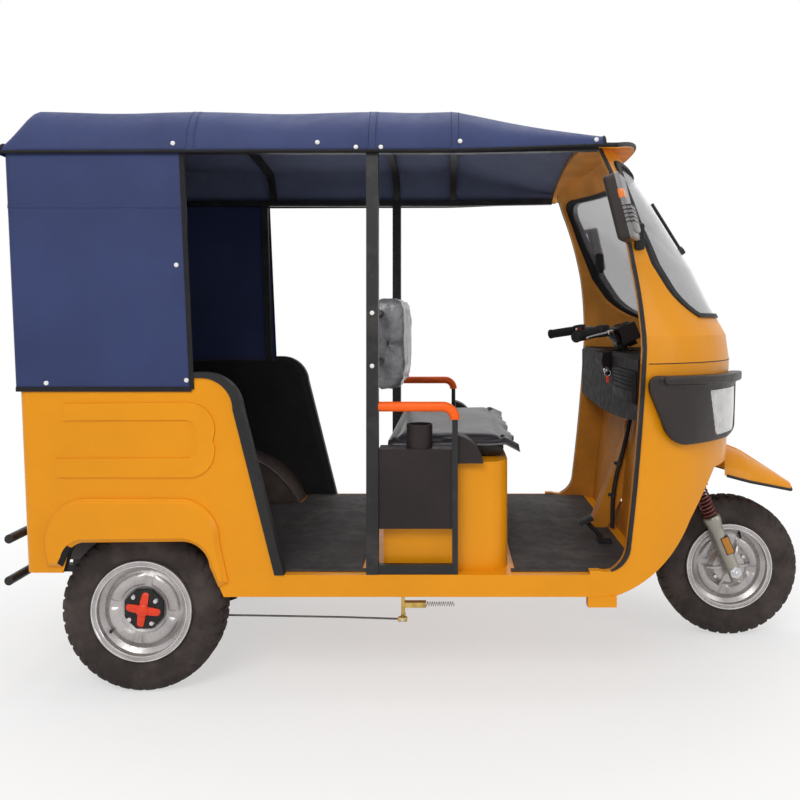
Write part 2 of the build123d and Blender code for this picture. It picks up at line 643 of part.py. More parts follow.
# Seat box, side panels, cup holder, cushion, backrest
seat_box = block(SEAT_BOX_X0, SEAT_BOX_X1, -SEAT_BOX_HALF_W, SEAT_BOX_HALF_W, FLOOR_Z, SEAT_BOX_TOP_Z)
front_edges = seat_box.edges().filter_by(Axis.Z).sort_by(Axis.X)[-2:]
seat_box = fillet(front_edges, 70.0)
seat_room = block(SEAT_BOX_X0 + SEAT_WALL, SEAT_BOX_X1 - 2 * SEAT_WALL, SEAT_POST_W - SEAT_BOX_HALF_W,
                  SEAT_BOX_HALF_W - SEAT_POST_W, FLOOR_Z, SEAT_BOX_TOP_Z - SEAT_WALL)
NODES["seat_box"] = seat_box - seat_room
NODES["battery_pack"] = block(SEAT_BOX_X0 + SEAT_WALL + 10.0, SEAT_BOX_X1 - 3 * SEAT_WALL, -BATTERY_HALF_W,
                              BATTERY_HALF_W, FLOOR_Z, FLOOR_Z + BATTERY_H)
panel_x0 = PILLAR_X + half_p
panel_x1 = ARM_POST_X - ARM_POST_W / 2
panel_y = HALF_W - SIDE_PANEL_IN
tray_low = SIDE_TRAY_Z - SIDE_PANEL_T
tray_y = SEAT_BOX_HALF_W - TRAY_REACH
panel = block(panel_x0, panel_x1, panel_y - SIDE_PANEL_T, panel_y, SIDE_PANEL_LOW_Z, SIDE_TRAY_Z)
panel = panel + block(panel_x0, panel_x1, tray_y, panel_y, tray_low, SIDE_TRAY_Z)
panel = panel + block(panel_x0, panel_x1, tray_y, tray_y + SIDE_PANEL_T, SEAT_BOX_TOP_Z, tray_low)
hump_x0 = ARM_POST_X + ARM_POST_W / 2 + JOIN
hump_x1 = hump_x0 + HUMP_L
hump_mid = (hump_x0 + HUMP_L * 0.66, SEAT_BOX_TOP_Z + (HUMP_TOP_Z - SEAT_BOX_TOP_Z) * 0.66)
hump = side_plate([(hump_x0, SEAT_BOX_TOP_Z), (hump_x0, HUMP_TOP_Z), (hump_mid, (hump_x1, SEAT_BOX_TOP_Z)),
                   (hump_x0, SEAT_BOX_TOP_Z)], tray_y, panel_y - SIDE_PANEL_T)
NODES["seat_side_panels"] = Compound(pair(panel).solids() + pair(hump).solids())
cup = Pos(CUP_X, CUP_Y, SIDE_TRAY_Z) * Cylinder(CUP_R, CUP_H, align=ON_BASE)
cup = cup - Pos(CUP_X, CUP_Y, SIDE_TRAY_Z + 6.0) * Cylinder(CUP_R - CUP_WALL, CUP_H, align=ON_BASE)
NODES["cup_holder"] = cup
cushion = block(SEAT_BOX_X0 + 10.0, SEAT_BOX_X1 + 6.0, -CUSHION_HALF_W, CUSHION_HALF_W, SEAT_BOX_TOP_Z,
                SEAT_BOX_TOP_Z + CUSHION_T)
cushion = fillet(cushion.edges().filter_by(Axis.Z), 40.0)
NODES["driver_cushion"] = fillet(cushion.faces().sort_by(Axis.Z)[-1].edges(), 18.0)
back = block(BACKREST_X0, BACKREST_X1, -BACKREST_HALF_W, BACKREST_HALF_W, BACKREST_LOW_Z, BACKREST_TOP_Z)
back = fillet(back.edges().filter_by(Axis.X), 40.0)
for z in CROSSBAR_ZS:
    back = back - tube((PILLAR_X, -p_in, z), (PILLAR_X, p_in, z), CROSSBAR_R + JOIN)
NODES["driver_backrest"] = back

# Rear body: tub walls cut to the side outline
tub = tub_form(TUB_LOW_Z, TUB_REAR_LOW_X, TUB_TOP_Z, TUB_REAR_TOP_X, HALF_W, 0.0, -400.0)
tub = tub - tub_form(TUB_LOW_Z - 5, TUB_REAR_LOW_X, TUB_TOP_Z + 5, TUB_REAR_TOP_X, HALF_W, SKIN, -390.0)
front_low = (REAR_BODY_FRONT_X, FLOOR_Z)
front_high = (-626.0, 936.0)
top_turn = (-720.0, TUB_TOP_Z)
arch_steps = [(-1152.0, 470.0), ((-1132.0, 503.0), (-1090.0, ARCH_TOP_Z - 3.0)), (-790.0, ARCH_TOP_Z),
              ((-730.0, 499.0), (-698.0, 440.0))]
tub_outline = [front_low, front_high, ((-656.0, 1008.0), top_turn), (-1450.0, TUB_TOP_Z), (-1450.0, 418.0),
               (-1166.0, 418.0)] + arch_steps
tub_outline = tub_outline + [(-655.0, TUB_LOW_Z), (REAR_BODY_FRONT_X, TUB_LOW_Z), front_low]
tub = tub & side_plate(tub_outline, -700.0, 700.0)
side_r = tub & block(-1500, -300, -700, -PANEL_SPLIT_Y, 200, 1200)
rear = tub & block(-1500, -1200, -PANEL_SPLIT_Y, PANEL_SPLIT_Y, 200, 1200)

# Flare over the wheel and the pressed bead
flare_steps = [(-1166.0, 440.0)] + arch_steps + [
    (-670.0, 375.0), (-640.0, 390.0), (-668.0, 520.0), ((-700.0, 610.0), (-790.0, 655.0)), (-1090.0, 655.0),
    ((-1190.0, 610.0), (-1225.0, 500.0)), (-1215.0, 440.0), (-1166.0, 440.0)]
flare = side_plate(flare_steps, -HALF_W - FLARE_PROUD, -HALF_W)
flare = chamfer(flare.faces().sort_by(Axis.Y)[0].edges(), FLARE_EDGE)
bead_steps = [(-1160.0, 957.0), (-770.0, 960.0), ((-700.0, 925.0), (-690.0, 840.0)),
              ((-702.0, 752.0), (-750.0, 722.0)), (-1188.0, 722.0), (-1188.0, 782.0),
              (-762.0, 784.0), ((-745.0, 800.0), (-745.0, 845.0)),
              ((-750.0, 890.0), (-780.0, 905.0)), (-1164.0, 903.0), (-1160.0, 957.0)]
bead = side_plate(bead_steps, -HALF_W - BEAD_PROUD, -HALF_W)
side_r = side_r + flare + bead
NODES["rear_side_right"] = side_r
NODES["rear_side_left"] = mirrored(side_r)
for y in (-PLATE_DY / 2, PLATE_DY / 2):
    rear = rear - tube((-1400.0, y, PLATE_Z), (-1100.0, y, PLATE_Z), PLATE_HOLE_R)
NODES["rear_panel"] = rear

trim_top = TUB_TOP_Z + TRIM_W * 0.6
trim_steps = [front_low, front_high, ((-656.0, 1008.0), top_turn), (-752.0, TUB_TOP_Z), (-752.0, trim_top),
              (-716.0, trim_top), ((-634.0, 1022.0), (front_high[0] + TRIM_W, 944.0)),
              (REAR_BODY_FRONT_X + TRIM_W, FLOOR_Z), front_low]
edge_trim = side_plate(trim_steps, -HALF_W - TRIM_PROUD, -HALF_W + SKIN)
NODES["rear_edge_trims"] = pair(edge_trim)

# Wheel housings inside the rear body
drum = y_disc(REAR_AXLE_X, AXLE_Z, HOUSING_R, housing_y, tub_in_y)
drum = drum - y_disc(REAR_AXLE_X, AXLE_Z, HOUSING_R - HOUSING_T, housing_y + 6.0, tub_in_y + 1)
drum = drum & block(-1400, -300, 300, HALF_W + 25.0, floor_low, 900)
drum = drum & tub_form(TUB_LOW_Z, TUB_REAR_LOW_X, TUB_TOP_Z, TUB_REAR_TOP_X, HALF_W, SKIN, -390.0)
NODES["wheel_housings"] = pair(drum)

# Canopy, curtains and roof frame
roof_rear_x = CANOPY_SECTIONS[0]["x"]
roof_front_x = CANOPY_SECTIONS[-1]["x"]
canopy = canopy_form(0.0, 0.0, roof_rear_x, roof_front_x)
canopy = canopy - canopy_form(CANOPY_T, 20.0, roof_rear_x + CANOPY_T, roof_front_x + 5.0)
NODES["canopy_roof"] = canopy
c_out = HALF_W + CURTAIN_GAP + CURTAIN_T
c_low_x = TUB_REAR_TOP_X - CURTAIN_GAP - CURTAIN_T
curtain = tub_form(CURTAIN_LOW_Z, c_low_x, CURTAIN_TOP_Z, CURTAIN_REAR_TOP_X, c_out, 0.0, -400.0,
                   CURTAIN_CORNER_R)
curtain = curtain - tub_form(CURTAIN_LOW_Z - 5, c_low_x, CURTAIN_TOP_Z + 5, CURTAIN_REAR_TOP_X, c_out,
                             CURTAIN_T, -390.0, CURTAIN_CORNER_R)
curtain_side = side_plate([(-755.0, 990.0), (-790.0, 1775.0), (-1450.0, 1775.0), (-1450.0, 990.0),
                           (-755.0, 990.0)], -700.0, 700.0)
curtain = (curtain & curtain_side) - canopy
between = block(-1500, -300, -PANEL_SPLIT_Y, PANEL_SPLIT_Y, 900, 1900)
NODES["side_curtains"] = Compound((curtain - between).solids())
rear_cloth = curtain & block(-1500, -1200, -PANEL_SPLIT_Y, PANEL_SPLIT_Y, 900, 1900)
window = block(-1500, -1200, -320.0, 320.0, 1260.0, 1580.0)
window = fillet(window.edges().filter_by(Axis.X), 40.0)
NODES["rear_curtain"] = rear_cloth - window
NODES["rear_window"] = rear_cloth & window

rail_front_x = BROW_BACK_X - JOIN
rails = side_plate([(RAIL_REAR_X, RAIL_LOW_Z), (RAIL_BEND_X, RAIL_LOW_Z),
                    (rail_front_x, RAIL_LOW_Z + RAIL_RISE), (rail_front_x, RAIL_TOP_Z + RAIL_RISE),
                    (RAIL_BEND_X, RAIL_TOP_Z), (RAIL_REAR_X, RAIL_TOP_Z), (RAIL_REAR_X, RAIL_LOW_Z)],
                   HALF_W - RAIL_IN - RAIL_SIZE, HALF_W - RAIL_IN)
roof_void = canopy_form(CANOPY_T + 0.3, 20.0, roof_rear_x + CANOPY_T + 1.0, roof_front_x)
roof_deep = canopy_form(CANOPY_T + 0.3 + BOW_T, 60.0, roof_rear_x + 20.0, roof_front_x)
bow_band = roof_void - roof_deep
bows = []
for x in BOW_XS:
    bow = bow_band & block(x - 14.0, x + 14.0, -700, 700, RAIL_Z - 4.0, 2000)
    bows = bows + bow.solids()
NODES["roof_bows"] = Compound(bows)
post_top = RAIL_LOW_Z - JOIN
roof_post_y = HALF_W - SKIN + ROOF_POST_IN
rear_post = block(-1212.0, -1188.0, roof_post_y, HALF_W - ROOF_POST_IN, TUB_TOP_Z, post_top)
mid_post = side_plate([(-795.0, TUB_TOP_Z), (-768.0, TUB_TOP_Z), (-786.0, post_top), (-814.0, post_top),
                       (-795.0, TUB_TOP_Z)], roof_post_y, HALF_W - ROOF_POST_IN)
half_roof = rails.solids() + rear_post.solids() + mid_post.solids()
NODES["roof_frame"] = Compound(half_roof + [mirrored(piece).solid() for piece in half_roof])

# Chassis frame under the floor
beam_low = floor_low - RAIL_BEAM_H
rail_solids = []
for side in (-1, 1):
    y = side * SPRING_Y
    beam = block(RAIL_BEAM_REAR_X, RAIL_BEAM_FRONT_X, y - RAIL_BEAM_W / 2, y + RAIL_BEAM_W / 2, beam_low,
                 floor_low)
    for x in (REAR_AXLE_X - SPRING_HALF_L - 14.0, REAR_AXLE_X + SPRING_HALF_L + 14.0):
        beam = beam + block(x - 13.8, x + 13.8, y - 25.0, y + 25.0, 262.0, beam_low)
    rail_solids = rail_solids + beam.solids()
NODES["chassis_rails"] = Compound(rail_solids)
MEMBERS = [
    {"x": -1215.0, "reach": 300.0},
    {"x": -600.0, "reach": 300.0},
    {"x": -183.0, "reach": HALF_W - SILL_W},
    {"x": 300.0, "reach": HALF_W - SILL_W},
    {"x": 600.0, "reach": 470.0},
]
inner_y = SPRING_Y - RAIL_BEAM_W / 2
outer_y = SPRING_Y + RAIL_BEAM_W / 2
members = []
for row in MEMBERS:
    x = row["x"]
    members.append(block(x - 20.0, x + 20.0, -inner_y, inner_y, beam_low + 20.0, floor_low))
    if row["reach"] > outer_y:
        members.append(block(x - 20.0, x + 20.0, outer_y, row["reach"], beam_low + 20.0, floor_low))
        members.append(block(x - 20.0, x + 20.0, -row["reach"], -outer_y, beam_low + 20.0, floor_low))
NODES["cross_members"] = Compound([piece.solid() for piece in members])

# Rear axle, motor, springs
axle = y_disc(REAR_AXLE_X, AXLE_Z, AXLE_R, -REAR_WHEEL_Y + 52.0, REAR_WHEEL_Y - 52.0)
axle = axle + y_disc(REAR_AXLE_X, AXLE_Z, REAR_SHAFT_R, -REAR_WHEEL_Y - 22.0, REAR_WHEEL_Y + 22.0)
axle = axle + y_disc(REAR_AXLE_X, AXLE_Z, 96.0, -75.0, 75.0)
for side in (-1, 1):
    ys = sorted([side * (REAR_WHEEL_Y - 62.0), side * (REAR_WHEEL_Y - 52.0)])
    axle = axle + y_disc(REAR_AXLE_X, AXLE_Z, 110.0, ys[0], ys[1])
NODES["rear_axle"] = axle
motor = tube((REAR_AXLE_X + 96.3, 0, AXLE_Z), (REAR_AXLE_X + 320.0, 0, AXLE_Z), 82.0)
NODES["drive_motor"] = motor - y_disc(REAR_AXLE_X, AXLE_Z, 96.3, -90.0, 90.0)
leaf_low = AXLE_Z - AXLE_R - JOIN
eye_z = leaf_low + LEAF_RISE
leaf_x0 = REAR_AXLE_X - SPRING_HALF_L
leaf_x1 = REAR_AXLE_X + SPRING_HALF_L
leaf = side_plate([(leaf_x0, eye_z), ((REAR_AXLE_X, leaf_low), (leaf_x1, eye_z)), (leaf_x1, eye_z - LEAF_T),
                   ((REAR_AXLE_X, leaf_low - LEAF_T), (leaf_x0, eye_z - LEAF_T)), (leaf_x0, eye_z)],
                  -SPRING_Y - 25.0, -SPRING_Y + 25.0)
NODES["leaf_springs"] = pair(leaf)

# Mats
mat_top = FLOOR_Z + MAT_T
front_mat = block(SEAT_BOX_X1 + 20.0, TOE_X - 40.0, -MAT_HALF_W, MAT_HALF_W, FLOOR_Z, mat_top)
front_mat = (front_mat & cab_form(SKIN + 6.0)) - strut_room
rear_mat = block(-590.0, PILLAR_X - 40.0, -MAT_HALF_W, MAT_HALF_W, FLOOR_Z, mat_top)
NODES["floor_mats"] = Compound(front_mat.solids() + rear_mat.solids())

# Brake pedal
pad_place = (556.0, PEDAL_Y, 497.0)
pad = Pos(*pad_place) * Rot(0, -25.0, 0) * Box(54.0, 46.0, 12.0)
lever = tube(pad_place, (622.0, PEDAL_Y, mat_top + 12.0), 8.0)
foot = block(600.0, 645.0, PEDAL_Y - 22.0, PEDAL_Y + 22.0, mat_top, mat_top + 22.0)
NODES["brake_pedal"] = pad + lever + foot

# Brake linkage under the near sill
crank = block(-104.0, -92.0, -365.0, -335.0, 180.0, beam_low)
crank = crank + block(-104.0, -18.0, -362.0, -338.0, 226.0, 244.0) + y_disc(-98.0, 192.0, 9.0, -375.0, -325.0)
crank = crank + block(-112.0, -84.0, -375.0, -310.0, beam_low - 6.0, beam_low)
NODES["brake_linkage"] = crank

# Rear bumper
bumper = None
for bar in BUMPER_BARS:
    pipe = tube((BUMPER_X, -BUMPER_HALF_W, bar["z"]), (BUMPER_X, BUMPER_HALF_W, bar["z"]), bar["r"])
    bumper = pipe if bumper is None else bumper + pipe
bumper_low = BUMPER_BARS[1]["z"] - 10.0
for y in (-SPRING_Y, SPRING_Y):
    bumper = bumper + block(BUMPER_X, RAIL_BEAM_REAR_X - JOIN, y - 15.0, y + 15.0, bumper_low,
                            bumper_low + 24.0)
    bumper = bumper + block(BUMPER_X, BUMPER_X + 24.0, y - 15.0, y + 15.0, bumper_low,
                            BUMPER_BARS[0]["z"] + 5.0)
NODES["rear_bumper"] = bumper

# Tail lamps
lamp_rear = TUB_REAR_TOP_X - LAMP_PROUD
lamp = block(lamp_rear, lamp_rear + 120.0, LAMP_OUT_Y - LAMP_W, LAMP_OUT_Y, LAMP_LOW_Z, LAMP_LOW_Z + LAMP_H)
lamp = lamp - tub_form(TUB_LOW_Z, TUB_REAR_LOW_X, TUB_TOP_Z, TUB_REAR_TOP_X, HALF_W, -JOIN, -400.0)
NODES["tail_lamps"] = pair(lamp)

# Mirrors on arms at the cab pillars
cases = []
glasses = []
glass_w = MIRROR_W - GLASS_MARGIN
glass_h = MIRROR_H - GLASS_MARGIN
for row in MIRRORS:
    y = row["side"] * row["y"]
    place = Pos(row["x"], y, MIRROR_Z) * Rot(0, 0, MIRROR_YAW * row["side"]) * Rot(0, -MIRROR_TILT, 0)
    case = fillet((place * Box(MIRROR_T, MIRROR_W, MIRROR_H)).edges(), MIRROR_ROUND)
    case = case - place * Pos(-MIRROR_T / 2, 0, 0) * Box(8.0, glass_w, glass_h)
    glass = place * Pos(2.1 - MIRROR_T / 2, 0, 0) * Box(3.4, glass_w - 2 * JOIN, glass_h - 2 * JOIN)
    root = (row["root_x"], row["side"] * row["root_y"], MIRROR_ARM_Z)
    knuckle = (place * Pos(4.0, row["side"] * (20.0 - MIRROR_W / 2), 30.0 - MIRROR_H / 2)).position
    arm = tube(root, knuckle, MIRROR_ARM_R) - cab_form(-max(TRIM_PROUD, SEAL_PROUD) - 2 * JOIN)
    outer_arm = sorted(arm.solids(), key=lambda piece: piece.volume)[-1]
    cases = cases + (case + outer_arm).solids()
    glasses = glasses + glass.solids()
NODES["mirrors"] = Compound(cases)
NODES["mirror_glasses"] = Compound(glasses)

# Wiper on the glass
hub = tube((922.0, WIPER_Y, 1473.0), (945.0, WIPER_Y, 1489.0), 16.0)
blade = tube((938.0, WIPER_Y, 1486.0), (818.0, WIPER_Y - 40.0, 1656.0), 6.0)
NODES["wiper"] = (hub + blade) - cab_form(3.8)

# Wheels
def tyre_form():
    w = TYRE_HALF_W
    low = BEAD_R + 0.3
    wall = BEAD_R + 16.0
    belly = (BEAD_R + TYRE_R) / 2 + 5.0
    shoulder = TYRE_R - 14.0
    edge = TYRE_R - 4.0
    pts = [(low, -42.0), (wall, -43.0), ((belly, -w), (shoulder, -46.0)), ((edge, -37.0), (TYRE_R, -20.0)),
           (TYRE_R, 20.0), ((edge, 37.0), (shoulder, 46.0)), ((belly, w), (wall, 43.0)), (low, 42.0),
           (low, -42.0)]
    edges = path_edges(lifted(pts, lambda p: (p[0], p[1], 0.0)))
    return revolve(Face(Wire(edges)), axis=Axis.Y, revolution_arc=360)


def rim_form(bore_r, hub_in, hub_out):
    # Barrel with flanges, dished disc and hub; the outer face looks along minus Y.
    w = RIM_HALF_W
    f = RIM_FLANGE_R
    b = BEAD_R
    barrel = [(f, -w), (f, -w + 5.0), (b, -w + 7.0), (b, -30.0), (138.0, -24.0), (138.0, 24.0), (b, 30.0),
              (b, w - 7.0), (f, w - 5.0), (f, w), (b - 6.0, w), (b - 6.0, 32.0), (131.0, 26.0)]
    disc = [(131.0, -14.0), (112.0, -24.0), (82.0, -20.0), (70.0, -8.0), (70.0, hub_in), (bore_r, hub_in),
            (bore_r, hub_out), (60.0, hub_out), (76.0, -26.0), (112.0, -31.0), (131.0, -22.0)]
    pts = barrel + disc + [(b - 6.0, -32.0), (b - 6.0, -w), (f, -w)]
    edges = path_edges(lifted(pts, lambda p: (p[0], p[1], 0.0)))
    return revolve(Face(Wire(edges)), axis=Axis.Y, revolution_arc=360)


front_bore = FRONT_SHAFT_R + HUB_BORE_GAP
rear_bore = REAR_SHAFT_R + HUB_BORE_GAP
WHEELS = [
    {"name": "front", "x": FRONT_AXLE_X, "y": 0.0, "turn": False, "bore": front_bore, "hub_out": -45.0},
    {"name": "rear_right", "x": REAR_AXLE_X, "y": -REAR_WHEEL_Y, "turn": False, "bore": rear_bore,
     "hub_out": -18.0},
    {"name": "rear_left", "x": REAR_AXLE_X, "y": REAR_WHEEL_Y, "turn": True, "bore": rear_bore,
     "hub_out": -18.0},
]
tyre = tyre_form()
for row in WHEELS:
    place = Pos(row["x"], row["y"], AXLE_Z)
    rim = rim_form(row["bore"], HUB_IN, row["hub_out"])
    if row["turn"]:
        rim = mirrored(rim)
    NODES[row["name"] + "_rim"] = place * rim
    NODES[row["name"] + "_tyre"] = place * tyre

os.makedirs("parts", exist_ok=True)
for name, shape in NODES.items():
    export_step(shape, "parts/" + name + ".step")
    box = shape.bounding_box()
    corners = (box.min.X, box.min.Y, box.min.Z, box.max.X, box.max.Y, box.max.Z)
    print(name, len(shape.solids()), [round(v) for v in corners])
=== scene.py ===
import json
from math import atan2, copysign, cos, hypot, pi, radians, sin, sqrt
import bmesh
import bpy
from mathutils import Matrix, Vector, noise
from mathutils.bvhtree import BVHTree


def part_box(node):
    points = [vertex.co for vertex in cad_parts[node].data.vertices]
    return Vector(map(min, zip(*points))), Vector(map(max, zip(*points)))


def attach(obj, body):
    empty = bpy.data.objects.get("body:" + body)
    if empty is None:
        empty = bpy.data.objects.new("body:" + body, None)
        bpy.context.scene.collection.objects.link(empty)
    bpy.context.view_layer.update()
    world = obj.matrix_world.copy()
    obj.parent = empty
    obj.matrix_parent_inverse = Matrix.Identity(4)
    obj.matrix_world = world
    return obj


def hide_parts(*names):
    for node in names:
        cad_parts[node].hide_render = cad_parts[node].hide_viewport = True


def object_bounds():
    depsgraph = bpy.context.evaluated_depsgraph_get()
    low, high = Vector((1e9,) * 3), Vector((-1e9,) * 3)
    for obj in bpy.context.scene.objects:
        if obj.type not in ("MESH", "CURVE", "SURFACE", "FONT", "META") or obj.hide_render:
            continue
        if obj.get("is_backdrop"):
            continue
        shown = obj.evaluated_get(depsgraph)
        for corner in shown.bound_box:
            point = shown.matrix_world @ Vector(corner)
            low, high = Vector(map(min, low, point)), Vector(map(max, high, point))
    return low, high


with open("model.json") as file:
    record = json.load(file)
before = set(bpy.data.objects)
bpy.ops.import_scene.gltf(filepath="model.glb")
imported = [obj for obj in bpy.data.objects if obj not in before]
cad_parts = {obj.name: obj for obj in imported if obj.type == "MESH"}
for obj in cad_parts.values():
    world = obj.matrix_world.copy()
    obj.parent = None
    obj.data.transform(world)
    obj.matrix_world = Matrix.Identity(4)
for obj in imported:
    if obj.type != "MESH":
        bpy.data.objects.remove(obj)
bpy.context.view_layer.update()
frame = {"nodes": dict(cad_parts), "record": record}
NODES = frame["nodes"]
SCENE = bpy.context.scene
SIDES = (-1.0, 1.0)
UP = Vector((0.0, 0.0, 1.0))

# Places taken from the solids, in metres
TYRE_R = 0.268
TYRE_HALF_W = 0.054
BEAD_R = 0.152
AXLE_Z = TYRE_R
FRONT_AXLE_X = 1.147
REAR_AXLE_X = -0.946
REAR_WHEEL_Y = 0.455
FLOOR_Z = 0.411
SEAT_TOP_Z = 0.762
CAB_MIDDLE_X = 0.45
RAKE = radians(23.0)
STEER_X = 1.104
FORK_OFFSET = 0.04
FORK_HALF_W = 0.095
CANOPY_ROWS = [
    {"x": -1.363, "w": 0.587, "low": 1.752, "ty": 0.556, "tz": 1.77, "crown": 1.782},
    {"x": -1.292, "w": 0.587, "low": 1.752, "ty": 0.505, "tz": 1.904, "crown": 1.941},
    {"x": 0.081, "w": 0.587, "low": 1.756, "ty": 0.505, "tz": 1.904, "crown": 1.941},
    {"x": 0.562, "w": 0.581, "low": 1.775, "ty": 0.54, "tz": 1.808, "crown": 1.874},
]
BOW_XS = [-1.27, -0.76, -0.183, 0.081]


# Shader nodes
def set_sockets(tree, node, sockets):
    for key, value in sockets.items():
        if isinstance(value, bpy.types.NodeSocket):
            tree.links.new(value, node.inputs[key])
        else:
            node.inputs[key].default_value = value


def add_node(tree, kind, sockets, **settings):
    node = tree.nodes.new("ShaderNode" + kind)
    for key, value in settings.items():
        setattr(node, key, value)
    set_sockets(tree, node, sockets)
    return node


def principled(name):
    material = bpy.data.materials.new(name)
    material.use_nodes = True
    tree = material.node_tree
    return material, tree, tree.nodes["Principled BSDF"]


def object_coords(tree, scale=(1.0, 1.0, 1.0)):
    coords = add_node(tree, "TexCoord", {})
    return add_node(tree, "Mapping", {"Scale": scale, "Vector": coords.outputs["Object"]}).outputs["Vector"]


def noise_node(tree, coords, scale, detail=3.0, rough=0.55):
    sockets = {"Scale": scale, "Detail": detail, "Roughness": rough, "Vector": coords}
    return add_node(tree, "TexNoise", sockets).outputs["Fac"]


def wave_node(tree, coords, scale, direction):
    sockets = {"Scale": scale, "Vector": coords}
    return add_node(tree, "TexWave", sockets, bands_direction=direction).outputs["Fac"]


def remap(tree, value, low, high, to_low, to_high):
    sockets = {"Value": value, "From Min": low, "From Max": high, "To Min": to_low, "To Max": to_high}
    return add_node(tree, "MapRange", sockets).outputs["Result"]


def colour_mix(tree, factor, first, second):
    return add_node(tree, "Mix", {"Factor": factor, 6: first, 7: second}, data_type="RGBA").outputs[2]


def bump_node(tree, height, strength, distance, before=None):
    sockets = {"Strength": strength, "Distance": distance, "Height": height}
    if before is not None:
        sockets["Normal"] = before
    return add_node(tree, "Bump", sockets).outputs["Normal"]


def seen_directly(tree):
    # 1 where the camera, a reflection or a clear pane looks straight at the surface
    rays = add_node(tree, "LightPath", {}).outputs
    eye = add_node(tree, "Math", {0: rays["Is Camera Ray"], 1: rays["Is Glossy Ray"]}, operation="MAXIMUM")
    pane = add_node(tree, "Math", {0: eye.outputs[0], 1: rays["Is Transmission Ray"]}, operation="MAXIMUM")
    return pane.outputs[0]


def shade(colour, factor):
    return tuple(min(1.0, c * factor) for c in colour) + (1.0,)


# Materials: the relief of grain, ribs and crease ends with its strength and height
def surface(name, colour, rough, metal=0.0, vary=0.1, patch=5.0, rough_vary=0.08, grain=(220.0, 0.15, 0.0006),
            coat=0.0, dust=None, ribs=None, alpha=1.0, specular=0.5, crease=None):
    material, tree, shader = principled(name)
    coords = object_coords(tree)
    factor = remap(tree, noise_node(tree, coords, patch, 4.0), 0.35, 0.65, 0.0, 1.0)
    tone = colour_mix(tree, factor, shade(colour, 1.0 - vary), shade(colour, 1.0 + vary))
    if dust is not None:
        speckle = noise_node(tree, coords, dust["scale"], 6.0, 0.7)
        amount = remap(tree, speckle, dust["low"], dust["high"], 0.0, dust["most"])
        tone = colour_mix(tree, amount, tone, dust["colour"] + (1.0,))
    fine = noise_node(tree, coords, patch * 7.0)
    gloss = remap(tree, fine, 0.3, 0.7, max(0.02, rough - rough_vary), min(1.0, rough + rough_vary))
    normal = None
    if crease is not None:
        stretch, scale, strength, height = crease
        folded = noise_node(tree, object_coords(tree, stretch), scale, 5.0, 0.6)
        normal = bump_node(tree, folded, strength, height)
    if ribs is not None:
        scale, axis, strength, height = ribs
        normal = bump_node(tree, wave_node(tree, coords, scale, axis), strength, height, normal)
    if grain is not None:
        scale, strength, height = grain
        normal = bump_node(tree, noise_node(tree, coords, scale, 2.0), strength, height, normal)
    if normal is not None:
        set_sockets(tree, shader, {"Normal": normal})
    set_sockets(tree, shader, {"Base Color": tone, "Roughness": gloss, "Metallic": metal, "Coat Weight": coat,
                               "Coat Roughness": 0.12, "Specular IOR Level": specular, "Alpha": alpha})
    return material


def vinyl_material(name, colour, rough):
    material, tree, shader = principled(name)
    coords = object_coords(tree)
    patches = remap(tree, noise_node(tree, coords, 3.0, 4.0), 0.3, 0.7, 0.0, 1.0)
    tone = colour_mix(tree, patches, shade(colour, 0.86), shade(colour, 1.16))
    gloss = remap(tree, noise_node(tree, coords, 30.0, 4.0), 0.3, 0.7, rough - 0.07, rough + 0.09)
    normal = bump_node(tree, noise_node(tree, object_coords(tree, (1.0, 1.0, 0.35)), 9.0), 0.35, 0.004)
    for axis in ("X", "Z"):
        normal = bump_node(tree, wave_node(tree, coords, 260.0, axis), 0.25, 0.0004, normal)
    set_sockets(tree, shader, {"Base Color": tone, "Roughness": gloss, "Normal": normal,
                               "Specular IOR Level": 0.2})
    return material


def glass_material(name, colour, alpha, rough=0.05):
    material, tree, shader = principled(name)
    coords = object_coords(tree)
    smear = noise_node(tree, coords, 6.0, 5.0, 0.65)
    gloss = remap(tree, smear, 0.35, 0.7, rough, rough + 0.12)
    tint = colour_mix(tree, smear, shade(colour, 0.94), shade(colour, 1.06))
    normal = bump_node(tree, noise_node(tree, coords, 4.0), 0.05, 0.002)
    set_sockets(tree, shader, {"Base Color": tint, "Roughness": gloss, "Normal": normal, "Alpha": alpha,
                               "Coat Weight": 1.0, "Coat Roughness": 0.03})
    return material


